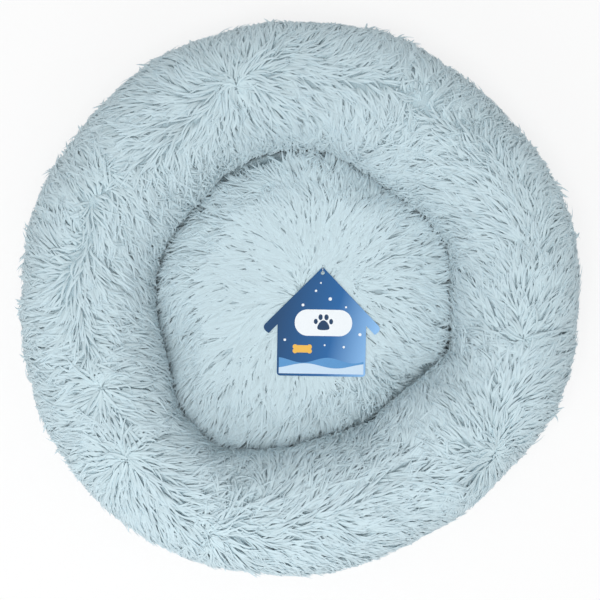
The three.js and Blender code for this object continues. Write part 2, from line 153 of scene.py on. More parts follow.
def lumped(radius, height, turn, crest):
    """Where points of a section lie once the stuffing has pushed them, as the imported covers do."""
    grown = np.clip((height - LUMP_FOOT) / (LUMP_HEIGHT - LUMP_FOOT), 0, 1)
    outward = np.clip((radius - CREST_RADIUS) / (BED_RADIUS - CREST_RADIUS), 0, 1)
    fade = np.where(radius < CREVICE_RADIUS, CREVICE_RADIUS - STILL_RADIUS, CREST_RADIUS - CREVICE_RADIUS)
    beside = np.clip(1 - np.abs(radius - CREVICE_RADIUS) / fade, 0, 1)
    outline_move = BED_RADIUS * (read_round(OUTLINE_SHARES, turn) - 1)
    crevice_move = CREVICE_RADIUS * (read_round(CREVICE_SHARES, turn) - 1)
    moved = radius + grown * (outward * outline_move + beside * crevice_move)
    above = np.clip((height - LUMP_HEIGHT) / (RING_HEIGHT - LUMP_HEIGHT), 0, 1)
    raised = height + RING_HEIGHT * (read_round(CREST_SHARES, turn) - 1) * above * crest
    return moved, raised


def turned_mesh(name, section, depths, turns, crest):
    """A surface swept round Z from a section of radius and height, with the bed's lumps. It keeps how
    deep the pile is at each row."""
    turn = np.arange(turns) / turns
    radius, height = lumped(section[:, :1], section[:, 1:], turn[None, :], crest)
    angle = 2 * math.pi * turn
    spots = np.stack([radius * np.cos(angle), radius * np.sin(angle), height], 2).reshape(-1, 3) * MM
    row, step = np.meshgrid(np.arange(len(section) - 1), np.arange(turns), indexing="ij")
    following = (step + 1) % turns
    corners = (row * turns + step, row * turns + following,
               (row + 1) * turns + following, (row + 1) * turns + step)
    mesh = bpy.data.meshes.new(name)
    mesh.from_pydata(spots.tolist(), [], np.stack(corners, 2).reshape(-1, 4).tolist())
    mesh.attributes.new("depth", "FLOAT", "POINT").data.foreach_set("value", np.repeat(depths, turns) * MM)
    merge_doubles(mesh, MERGE_GAP)
    smooth_faces(mesh)
    return mesh


def merge_doubles(mesh, gap, turn_out=False):
    """Joins a mesh's points that lie within a gap in millimetres; its faces may be turned outwards."""
    shape = bmesh.new()
    shape.from_mesh(mesh)
    bmesh.ops.remove_doubles(shape, verts=shape.verts, dist=gap * MM)
    if turn_out:
        bmesh.ops.recalc_face_normals(shape, faces=shape.faces)
    shape.to_mesh(mesh)
    shape.free()


def smooth_faces(mesh):
    mesh.polygons.foreach_set("use_smooth", [True] * len(mesh.polygons))


def new_object(name, data):
    made = bpy.data.objects.new(name, data)
    scene.collection.objects.link(made)
    return made


def made_mesh(obj):
    """What an object's modifiers or curve make, as a plain mesh."""
    bpy.context.view_layer.update()
    mesh = bpy.data.meshes.new_from_object(obj.evaluated_get(bpy.context.evaluated_depsgraph_get()))
    mesh.name = obj.name
    return mesh


def applied(obj):
    """Gives an object the plain mesh that its modifiers make."""
    mesh = made_mesh(obj)
    obj.modifiers.clear()
    obj.data = mesh
    return obj


def read_vectors(items, key):
    """One vector of every item of a mesh, as rows."""
    values = np.zeros(len(items) * 3)
    items.foreach_get(key, values)
    return values.reshape(-1, 3)


def filled_out(obj, pressure):
    """Fills a cover: cloth under pressure, held along its open sewn edges, with no point let further
    than FILL_MOST. It starts lumpy, as hand-packed stuffing leaves it."""
    mesh = obj.data
    start = read_vectors(mesh.vertices, "co") / MM
    sides = np.zeros(len(mesh.loops), int)
    mesh.loops.foreach_get("edge_index", sides)
    ends = np.zeros(len(mesh.edges) * 2, int)
    mesh.edges.foreach_get("vertices", ends)
    open_sides = np.bincount(sides, minlength=len(mesh.edges)) == 1
    sewn = np.unique(ends.reshape(-1, 2)[open_sides])
    lumps = np.array([noise.noise(Vector(spot) / LUMP_SIZE) for spot in start])
    lumps[sewn] = 0
    start += read_vectors(mesh.vertex_normals, "vector") * (lumps * LUMP_DEPTH)[:, None]
    mesh.vertices.foreach_set("co", (start * MM).ravel())
    obj.vertex_groups.new(name="sewn").add(sewn.tolist(), 1.0, "REPLACE")
    cloth = obj.modifiers.new("filling", "CLOTH")
    cloth.settings.vertex_group_mass = "sewn"
    cloth.settings.use_pressure = True
    cloth.settings.uniform_pressure_force = pressure
    cloth.settings.effector_weights.gravity = 0
    cloth.collision_settings.use_collision = False
    cloth.point_cache.frame_start = 1
    cloth.point_cache.frame_end = FILL_FRAMES
    for moment in range(1, FILL_FRAMES + 1):
        scene.frame_set(moment)
    swollen = obj.evaluated_get(bpy.context.evaluated_depsgraph_get())
    moves = read_vectors(swollen.data.vertices, "co") / MM - start
    far = np.linalg.norm(moves, axis=1)
    moves *= (np.minimum(far, FILL_MOST) / far.clip(1e-6))[:, None]
    obj.modifiers.clear()
    obj.vertex_groups.clear()
    scene.frame_set(1)
    mesh.vertices.foreach_set("co", ((start + moves) * MM).ravel())
    mesh.update()


def growth_surface(name, section, depths, turns, pressure, crest):
    """The surface of a filled backing, which the pile grows on and the knit is made from."""
    growth = new_object(name, turned_mesh(name, section, depths, turns, crest))
    filled_out(growth, pressure)
    finer = growth.modifiers.new("finer", "SUBSURF")
    finer.levels = finer.render_levels = 1
    return applied(growth)


outline = np.array(RING_SECTION_SHARES) * (RING_WIDTH, RING_HEIGHT) + (CREVICE_RADIUS, 0)
section, depths = skin_section(outline, RING_ROWS, RING_PILE_DEPTH, two_lips=True)
# The last row is the hem, which reaches the seam of the crevice. It stops short of the seam, so that the dark
# seam tape shows there as painted shade in the crevice
section = np.vstack([section, [CREVICE_RADIUS + RING_HEM_GAP, HEM_HEIGHT]])
depths = np.append(depths, LIP_PILE_DEPTH)
ring_growth = growth_surface("ring_growth", section, depths, RING_TURNS, RING_FILL_PRESSURE, crest=True)

# Cushion cover, the knitted backing of the middle
# The same knit, cut to a disc and sewn into the crevice seam. The stuffing crowns it, and it drops
# steeply to its sewn edge.
CROWN_HEIGHT = 75
CUSHION_PILE_DEPTH = 8.5
# The cushion's hem stops this far from the crevice seam; the dark seam tape between the hems is partly
# painted shade in the crevice
CUSHION_HEM_GAP = 1.2
CUSHION_ROWS = 16
CUSHION_TURNS = 80
CUSHION_FILL_PRESSURE = 0.4
CUSHION_SECTION_SHARES = (
    (0.98, 0.03), (0.993, 0.3), (0.98, 0.55), (0.92, 0.79), (0.79, 0.915), (0.58, 0.975),
    (0.3, 1.0), (0.0, 1.0),
)
outline = np.array(CUSHION_SECTION_SHARES) * (CREVICE_RADIUS, CROWN_HEIGHT - SEAM_HEIGHT) + (0, SEAM_HEIGHT)
section, depths = skin_section(outline, CUSHION_ROWS, CUSHION_PILE_DEPTH, two_lips=False)
section[-1, 0] = 0
section = np.vstack([[CREVICE_RADIUS - CUSHION_HEM_GAP, HEM_HEIGHT], section])
depths = np.insert(depths, 0, LIP_PILE_DEPTH)
cushion_growth = growth_surface(
    "cushion_growth", section, depths, CUSHION_TURNS, CUSHION_FILL_PRESSURE, crest=False)

# Combing of the pile
# Each mark is a hand's stroke over the finished pile: its place from the bed's middle and the way
# the tips point, in degrees from the right, anticlockwise. A burst is a whorl that tips point away
# from: its place and its reach.
COMB_REACH = 26
COMB_MARKS = (
    (-63, 323, 90), (-119, 305, 96), (-157, 283, 124), (-82, 296, 97), (-169, 263, 143),
    (-132, 267, 153), (-200, 261, 168), (-213, 230, 182), (-182, 230, 188), (-150, 246, 160),
    (-250, 211, 155), (-219, 208, 175), (-188, 198, 200), (-257, 186, 142), (-276, 163, 145),
    (-294, 136, 148), (-307, 105, 138), (-320, 73, 150), (-326, 42, 172), (-320, 17, 168),
    (-300, 45, 143), (-251, 148, 100), (-288, 88, 112), (-232, 108, 292), (-207, 110, 307),
    (-170, 117, 304), (-138, 130, 298), (-153, 138, 317), (-238, 73, 291), (-207, 73, 305),
    (-188, 73, 297), (-226, 36, 305), (-263, 20, 292), (-200, 17, 325), (-238, -2, 325),
    (-200, -14, 323), (-263, -20, 315), (-315, -8, 198), (-313, -39, 192), (-294, -58, 175),
    (-300, -83, 192), (-294, -117, 194), (-282, -146, 190), (-270, -177, 180), (-238, -170, 170),
    (-232, -58, 355), (-200, -58, 8), (-219, -80, 20), (-188, -83, 3), (-207, -114, 347),
    (-182, -127, 340), (-213, -142, 318), (-176, -158, 353), (-188, -183, 352), (-250, -221, 200),
    (-232, -230, 226), (-213, -230, 269), (-193, -230, 308), (-169, -227, 332), (-150, -202, 15),
    (-119, -208, 38), (-82, -227, 45), (-138, -230, 32), (-107, -242, 65), (-48, -225, 92),
    (-19, -214, 78), (-7, -240, 50), (-200, -258, 285), (-176, -252, 305), (-153, -252, 335),
    (-238, -252, 235), (-188, -283, 293), (-144, -308, 275), (-69, -302, 345), (-82, -325, 322),
    (-44, -327, 335), (-13, -308, 345), (-63, -280, 12), (-19, -277, 22), (37, -277, 0),
    (100, -277, 2), (150, -275, 358), (30, -308, 340), (68, -302, 345), (37, -333, 335),
    (106, -302, 345), (137, -296, 350), (175, -252, 328), (37, -246, 20), (93, -242, 22),
    (137, -237, 18), (24, -215, 48), (62, -212, 28), (106, -208, 29), (140, -205, 48),
    (81, -183, 50), (125, -177, 65), (156, -183, 90), (162, -152, 112), (187, -171, 148),
    (206, -177, 148), (200, -142, 118), (219, -158, 105), (237, -146, 87), (219, -114, 93),
    (181, -114, 99), (156, -108, 97), (250, -114, 85), (256, -158, 70), (281, -127, 0),
    (306, -120, 10), (275, -99, 38), (306, -92, 30), (325, -70, 22), (275, -164, 330),
    (260, -186, 312), (250, -208, 262), (219, -224, 235), (187, -204, 165), (212, -202, 185),
    (162, -214, 10), (194, -242, 315), (212, -245, 250), (231, -233, 250), (200, -83, 95),
    (231, -86, 90), (190, -58, 75), (219, -64, 140), (231, -52, 165), (219, -24, 137),
    (237, -20, 110), (256, -2, 102), (275, -2, 90), (294, -2, 77), (319, -8, 58),
    (331, -39, 35), (212, 11, 127), (194, 30, 125), (231, 36, 145), (256, 46, 125),
    (275, 51, 105), (294, 46, 86), (315, 42, 64), (331, 30, 60), (225, 61, 170),
    (219, 92, 172), (250, 89, 145), (275, 96, 130), (306, 111, 5), (300, 142, 10),
    (310, 83, 12), (281, 161, 25), (250, 123, 145), (212, 117, 160), (181, 117, 180),
    (212, 149, 152), (175, 148, 200), (137, 148, 195), (194, 167, 165), (156, 173, 203),
    (119, 180, 198), (222, 171, 122), (264, 180, 45), (239, 226, 27), (212, 242, 50),
    (193, 261, 95), (187, 229, 3), (193, 211, 162), (156, 192, 213), (112, 192, 205),
    (125, 223, 245), (93, 230, 262), (97, 207, 235), (56, 233, 240), (37, 248, 303),
    (15, 255, 318), (77, 251, 288), (-7, 273, 342), (37, 271, 350), (81, 280, 42),
    (31, 305, 52), (56, 298, 45), (56, 326, 65), (18, 323, 74), (106, 311, 88),
    (125, 292, 93), (143, 283, 62), (162, 267, 88), (125, 323, 95), (-38, 263, 342),
    (-19, 238, 315), (-53, 221, 293), (-75, 225, 285), (-100, 223, 268), (-119, 225, 238),
    (0, 223, 300), (-32, 204, 295), (-94, 188, 295), (-116, 180, 272), (-69, 198, 300),
    (37, 211, 240), (-138, 167, 300), (-82, 117, 187), (-44, 117, 180), (-100, 98, 160),
    (-57, 98, 160), (-25, 112, 118), (-120, 78, 186), (-82, 82, 170), (-44, 78, 145),
    (-138, 60, 184), (-100, 60, 180), (-63, 60, 160), (-156, 23, 214), (-126, 23, 200),
    (-88, 23, 168), (-50, 23, 166), (-156, -15, 236), (-126, -15, 213), (-94, -15, 196),
    (-57, -15, 205), (-156, -52, 260), (-126, -52, 221), (-88, -55, 224), (-57, -58, 242),
    (-138, -90, 230), (-107, -90, 228), (-69, -96, 243), (-40, -96, 270), (-145, -125, 256),
    (-107, -130, 235), (-69, -130, 242), (-30, -128, 258), (0, -133, 264), (-82, -161, 216),
    (-44, -163, 232), (12, -158, 254), (40, -142, 272), (62, -150, 240), (88, -120, 230),
    (69, 117, 62), (106, 110, 30), (88, 80, 48), (125, 82, 22), (144, 70, 18),
    (69, 55, 58), (112, 52, 14), (150, 50, 14), (100, 23, 5), (137, 18, 355),
    (162, 14, 340), (88, -2, 336), (125, -8, 340), (156, -10, 345), (69, -20, 304),
    (112, -22, 318), (150, -25, 2), (75, -48, 312), (112, -48, 325), (150, -50, 20),
    (88, -80, 318), (118, -80, 345), (12, 130, 100), (44, 128, 88), (12, 92, 104),
    (44, 88, 85),
)
COMB_BURSTS = (
    (-212, -198, 34), (234, -188, 22), (-110, -289, 16), (-240, -108, 16), (-78, 258, 14),
    (-234, 160, 14), (272, -49, 14), (72, 16, 14), (-41, 133, 12),
)
BURST_PULL = 1.4
BURST_MIDDLE = 19
BURST_TOUSLE = 0.6
OUTWARD_PULL = 0.05
# The ring's inner wall starts this far inside its crest. Its pile is shorter below WALL_PILE_TOP, and
# a little stiffer where the wall is steep or near its top
INNER_WALL_INSET = 10
INNER_WALL_FADE = 40
WALL_PILE_TOP = 92
WALL_PILE_FADE = 20
WALL_PILE_CUT = 0.5
WALL_STIFFNESS = 0.25
EAVES_FADE = 30
EAVES_STIFFNESS = 0.15
# The cushion's pile stands out past the edge of its crown, and is cut where it would cross the crevice
CUSHION_PILE_LENGTH = 32
CUSHION_EAVES = 138
CUSHION_EAVES_FADE = 24
CUSHION_STIFFNESS = 0.8
CUSHION_STIFFNESS_SPREAD = 0.3
SHORTEST_TRIM = 0.25
# How far the cushion's pile reaches over the crevice, round the bed, and how unevenly
CUSHION_OVERLAPS = (0, 0, 0, 1, 3, 8, 6, 2, 2, 4, 6, 7, 7, 5, 3, 2, 1, 0)
CUSHION_RAGGED = 8
CUSHION_RAGGED_GAP = 9
# How ruffled the pile is along the crevice, round the bed, and how far from it that reaches
CREVICE_RUFFLES = (0.5, 0.7, 0.9, 0.8, 0.7, 0.8, 0.9, 0.9, 0.7, 0.5, 0.3, 0.2, 0.2, 0.4, 0.6, 0.7, 0.7, 0.6)
CREVICE_RUFFLE_REACH = 18
# Tufts of locks stand off the outer wall. They start this far outside its crest, and fade out down to
# the floor
TUFT_GAP = 11
TUFT_START = 25
TUFT_FADE = 40
TUFT_PEAK = 0.6
TUFT_STIFFNESS = 0.75
TUFT_OVERHANG = 0.3
# How steeply the pile hangs on the ring's inner wall, on its outer wall and on the cushion
INNER_FALL = 0.55
OUTER_FALL = 1.1
CUSHION_FALL = 0.4
# How much of the comb's way is left where a wall is upright, and how far overhanging pile dips
LEAST_FLOW = 0.15
OVERHANG_DIP = 0.1
# Other places where the pile is rough: where it is, how far that reaches and how much it is ruffled
RUFFLED_PLACES = (
    (-125, 140, 34, 0.9), (-165, 150, 26, 0.8), (156, 240, 30, 0.9), (222, 200, 30, 1.0),
    (-82, -235, 40, 0.8), (70, -110, 30, 0.9), (110, -110, 28, 0.9), (175, -40, 24, 0.7),
    (-255, 75, 26, 0.7), (120, 215, 26, 0.6), (70, 180, 30, 0.6), (40, -190, 40, 0.7),
    (230, -60, 26, 0.6), (-232, -35, 24, 0.5), (-120, -175, 24, 0.4), (-95, 172, 26, 1.0),
    (-40, 182, 26, 0.9), (10, 186, 26, 0.8), (55, 165, 22, 0.6), (-150, 110, 24, 0.7),
)


def unit(vectors):
    return vectors / np.linalg.norm(vectors, axis=1)[:, None].clip(1e-6)


def noise_at(spots, gap):
    return np.array([noise.noise(Vector(spot) / gap) for spot in spots])


def combed(plan, outward):
    """The way the tips point in plan, and how far from a whorl's middle they stray and tousle."""
    flow = outward * OUTWARD_PULL
    for x, y, degrees in COMB_MARKS:
        gap = np.linalg.norm(plan - (x, y), axis=1) / COMB_REACH
        way = (math.cos(math.radians(degrees)), math.sin(math.radians(degrees)))
        flow += np.exp(-gap ** 2)[:, None] * way
    stray, tousle = np.zeros(len(plan)), np.zeros(len(plan))
    for x, y, reach in COMB_BURSTS:
        away = plan - (x, y)
        gap = np.linalg.norm(away, axis=1)
        flow += (BURST_PULL * np.exp(-(gap / reach) ** 2) / gap.clip(1))[:, None] * away
        near = np.exp(-(gap / BURST_MIDDLE) ** 2)
        stray = np.maximum(stray, gap * near)
        tousle = np.maximum(tousle, BURST_TOUSLE * near)
    return unit(flow), stray, tousle


def comb_growth(mesh, crest_radius):
    """Writes the attributes that the pile grows by on a growth surface: the normal, the way the tips
    point along the surface, the way beside it, how ruffled and stiff the pile is, and its trim."""
    spots = read_vectors(mesh.vertices, "co") / MM
    normals = read_vectors(mesh.vertex_normals, "vector")
    plan, height = spots[:, :2], spots[:, 2]
    away = np.linalg.norm(plan, axis=1)
    outward = plan / away[:, None].clip(1)
    if crest_radius:
        outward = outward * np.where(away > crest_radius, 1, -1)[:, None]
    flow, stray, tousle = combed(plan, outward)
    upward = normals[:, 2:].clip(0, 1)
    turn = np.arctan2(plan[:, 1], plan[:, 0]) / (2 * math.pi)
    edge = CREVICE_RADIUS * read_round(CREVICE_SHARES, turn)
    if crest_radius:
        fall = np.where(away < crest_radius, INNER_FALL, OUTER_FALL)
        inner = np.clip((crest_radius - INNER_WALL_INSET - away) / INNER_WALL_FADE, 0, 1)
        eaves = inner * np.clip((height - WALL_PILE_TOP) / EAVES_FADE, 0, 1)
        stiff = np.maximum(EAVES_STIFFNESS * eaves, WALL_STIFFNESS * inner * (1 - upward[:, 0]))
        tufts = noise_at(spots, TUFT_GAP).clip(0, TUFT_PEAK) / TUFT_PEAK
        tufts *= np.clip((away - crest_radius - TUFT_START) / TUFT_FADE, 0, 1)
        tufts *= np.clip(height / TUFT_FADE, 0, 1)
        stiff = np.maximum(stiff, TUFT_STIFFNESS * tufts)
        overhang = TUFT_OVERHANG * tufts
        low = np.clip((WALL_PILE_TOP + WALL_PILE_FADE - height) / WALL_PILE_FADE, 0, 1)
        trim = 1 - WALL_PILE_CUT * inner * low
    else:
        fall = np.full(len(spots), CUSHION_FALL)
        ragged = noise_at(spots, CUSHION_RAGGED_GAP)
        stiff = CUSHION_STIFFNESS + CUSHION_STIFFNESS_SPREAD * ragged
        stiff = stiff * np.clip((away - CUSHION_EAVES) / CUSHION_EAVES_FADE, 0, 1)
        overhang = stiff
        overlap = read_round(CUSHION_OVERLAPS, turn) + CUSHION_RAGGED * ragged
        trim = np.clip((edge + overlap - away) / CUSHION_PILE_LENGTH, SHORTEST_TRIM, 1)
    way = np.hstack([flow * (LEAST_FLOW + (1 - LEAST_FLOW) * upward), -(1 - upward) * fall[:, None]])
    way = unit(way - normals * (way * normals).sum(1)[:, None])
    level = np.hstack([flow, np.full((len(spots), 1), -OVERHANG_DIP)])
    way = unit(way + (level - way) * overhang[:, None])
    ruffle = tousle
    for x, y, reach, strength in RUFFLED_PLACES:
        gap = np.linalg.norm(plan - (x, y), axis=1) / reach
        ruffle = np.maximum(ruffle, strength * np.exp(-gap ** 2))
    near = np.exp(-((away - edge) / CREVICE_RUFFLE_REACH) ** 2)
    ruffle = np.maximum(ruffle, read_round(CREVICE_RUFFLES, turn) * near)
    beside = unit(np.cross(normals, way))
    for name, values in (("grow", normals), ("comb", way), ("beside", beside)):
        mesh.attributes.new(name, "FLOAT_VECTOR", "POINT").data.foreach_set("vector", values.ravel())
    for name, values in (("ruffle", ruffle), ("stray", stray * MM), ("stiff", stiff), ("trim", trim)):
        mesh.attributes.new(name, "FLOAT", "POINT").data.foreach_set("value", values)


comb_growth(ring_growth.data, CREST_RADIUS)
comb_growth(cushion_growth.data, None)

# Pile
# Long polyester fibres in locks about 3 mm wide, thick at the middle and drawn to a soft tip. They
# stand out of the knit, lie over along the comb and follow the surface under them.
RING_PILE_LENGTH = 33
STRAND_WIDTH = 3.2
STRAND_SPACING = 2.55
CUSHION_STRAND_WIDTH = 2.9
CUSHION_STRAND_SPACING = 2.35
CUSHION_PILE_ROOM = 1.2
ROOT_SPREAD = 6.5
FLOOR_GAP = 1.0
# The root colour is painted light: lighter than the fibre, to lift the shade that falls between the locks
PILE_ROOT_PAINTED_LIGHT_COLOR = "#CDE2E9"
PILE_MIDDLE_COLOR = "#C8DCE3"
PILE_TIP_COLOR = "#C9DDE5"
LOCK_KINDS = 8
LOCK_SIZE = 6.5
LOCK_WIDENING = 1.15
LOCK_FLATNESS = 0.26
LOCK_POINTS = 6
ROOTS_PER_SQUARE_METRE = 160000.0
# How far a lock turns along its length, in radians: at most, and what keeps it from being nothing
MOST_SWEEP = 2.6
LEAST_SWEEP = 0.003
BROAD_WAVE_SCALE = 38.0
CURL_SCALE = 90.0
RUFFLED_CURL = 5.0
# Each pair is a tidy lock's value and what a ruffled one adds
LOCK_LEAN = (0.24, 0.5)
LOCK_HOOK = (0.42, 1.1)
LOCK_DROP = (0.42, 0.5)
# How much of a lock's sway, hook and rise it shares with its neighbours
SHARED_SWAY = 0.6
SHARED_HOOK = 0.65
SHARED_RISE = 0.5
# How much shorter a lock is on a lip, where its neighbours are low, and where it is ruffled
LIP_CUT = 0.65
LOW_CUT = 0.35
HIGH_GAIN = 0.15
RUFFLED_CUT = 0.2
# Near a whorl's middle the roots are strewn less widely, and the locks rise sooner
STRAY_DRAW = 0.8
STRAY_RISE = 120.0
MOST_EARLY_RISE = 0.8
RISE_POWER = 4.0
STIFF_DROP = -0.1
MAP_MARGINS = (0.08, 0.02)
# How thick a lock is along its length, as shares
LOCK_TAPER = ((0.0, 0.6), (0.3, 1.0), (0.72, 0.8), (1.0, 0.1))
# What is drawn for each lock: its name, its least and most, and what it adds to the seed
LOCK_DRAWS = (("hook", -1, 1, 6), ("kind", 0, 1, 1), ("sway", -1, 1, 2), ("rise", 0, 1, 3),
              ("reach", 0.8, 1.15, 4), ("girth", 0.75, 1.2, 5))
SCATTER_DRAW = 9
GROWTH_VECTORS = ("grow", "comb", "beside")
GROWTH_NUMBERS = ("depth", "ruffle", "stray", "stiff", "trim")
LOCK_MARKS = ("root", "hook", "kind", "sway", "rise", "reach", "girth", "along", "around", "foot")
RING_SECTORS = 8
CUSHION_SECTORS = 2


def linear(text):
    """The linear colour, with alpha, of an sRGB hex colour."""
    parts = [int(text[at:at + 2], 16) / 255 for at in (1, 3, 5)]
    return [p / 12.92 if p <= 0.04045 else ((p + 0.055) / 1.055) ** 2.4 for p in parts] + [1.0]


def add_node(tree, kind, *values, output=None, **others):
    """Adds a node and gives the output that is named, or else its first. The kind has no "ShaderNode"
    in front, and may end in an operation. Values, plain or from other nodes, go to the inputs in
    their order. Others are inputs by their names, with a capital letter, and the node's settings."""
    kind, _, operation = kind.partition(".")
    made = tree.nodes.new(kind if "Node" in kind else "ShaderNode" + kind)
    if operation:
        made.operation = operation
    for name in [name for name in others if name[0].islower()]:
        setattr(made, name, others.pop(name))
    inputs = [socket for socket in made.inputs if socket.enabled]
    pairs = list(zip(inputs, values))
    for name, value in others.items():
        pairs.append((next(socket for socket in inputs if socket.name == name.replace("_", " ")), value))
    for socket, value in pairs:
        if isinstance(value, bpy.types.NodeSocket):
            tree.links.new(value, socket)
        else:
            socket.default_value = value
    return next((socket for socket in made.outputs if socket.enabled and output in (None, socket.name)), None)


def new_material(name, roughness, **others):
    """A material with a Principled shader, what adds nodes to its tree, and its shader."""
    material = bpy.data.materials.new(name)
    material.use_nodes = True
    shader = material.node_tree.nodes["Principled BSDF"]
    shader.inputs["Roughness"].default_value = roughness
    for key, value in others.items():
        shader.inputs[key.replace("_", " ")].default_value = value
    return material, functools.partial(add_node, material.node_tree), shader


def feed(shader, name, output):
    shader.id_data.links.new(output, shader.inputs[name])


def shade_ramp(ramp, stops):
    """Sets the places and hex colours of a colour ramp, from its first to its last."""
    elements = ramp.color_ramp.elements
    for index, (place, color) in enumerate(stops):
        if 0 < index < len(stops) - 1:
            elements.new(place)
        elements[index].position = place
        elements[index].color = linear(color)


def pile_material():
    """Polyester pile fibre, extruded and brushed: pale and dull, a little darker at the middle than at the
    tip, and a little different from lock to lock. The roots are painted lighter than both, a painted light
    that lifts the shade falling between the locks."""
    material, add, shader = new_material(
        "polyester_pile", roughness=0.8, Sheen_Weight=0.15, Sheen_Roughness=0.5, Specular_IOR_Level=0.25)
    across, along, _ = add("SeparateXYZ", add("UVMap", uv_map="OFBake")).node.outputs
    ramp = add("ValToRGB", along)
    # The root stop is painted light, lighter than the fibre, to lift the shade between the locks
    shade_ramp(ramp.node, ((0.05, PILE_ROOT_PAINTED_LIGHT_COLOR), (0.45, PILE_MIDDLE_COLOR), (0.9, PILE_TIP_COLOR)))
    kind = add("Math.FLOOR", add("Math.MULTIPLY", across, LOCK_KINDS))
    tone = add("TexWhiteNoise", W=kind, noise_dimensions="1D", output="Value")
    level = add("MapRange", tone, To_Min=0.9, To_Max=1.04)
    feed(shader, "Base Color", add("VectorMath.SCALE", ramp, level))
    return material


def new_tree(name, sizes, **others):
    """A geometry tree with named inputs, all sizes but for others of a kind of their own. Also gives
    what they hold, by name, and what adds nodes to it."""
    tree = bpy.data.node_groups.new(name, "GeometryNodeTree")
    kinds = {"Geometry": "Geometry", **dict.fromkeys(sizes, "Float"), **others}
    for socket, kind in kinds.items():
        tree.interface.new_socket(socket, in_out="INPUT", socket_type="NodeSocket" + kind)
    tree.interface.new_socket("Geometry", in_out="OUTPUT", socket_type="NodeSocketGeometry")
    add = functools.partial(add_node, tree)
    return tree, add("NodeGroupInput").node.outputs, add


def end_tree(add, geometry, material):
    """Ends a tree: everything real and in one material."""
    real = add("GeometryNodeRealizeInstances", geometry)
    add("NodeGroupOutput", add("GeometryNodeSetMaterial", real, Material=material))


def grown(name, tree, values, mesh=None):
    """A plain mesh made by a geometry tree from its named inputs."""
    made = new_object(name, mesh or bpy.data.meshes.new(name))
    modifier = made.modifiers.new(name, "NODES")
    modifier.node_group = tree
    for item in tree.interface.items_tree:
        if item.in_out == "INPUT" and item.name in values:
            modifier[item.identifier] = values[item.name]
    return applied(made)


def drop_marks(mesh, names):
    for name in names:
        mesh.attributes.remove(mesh.attributes[name])


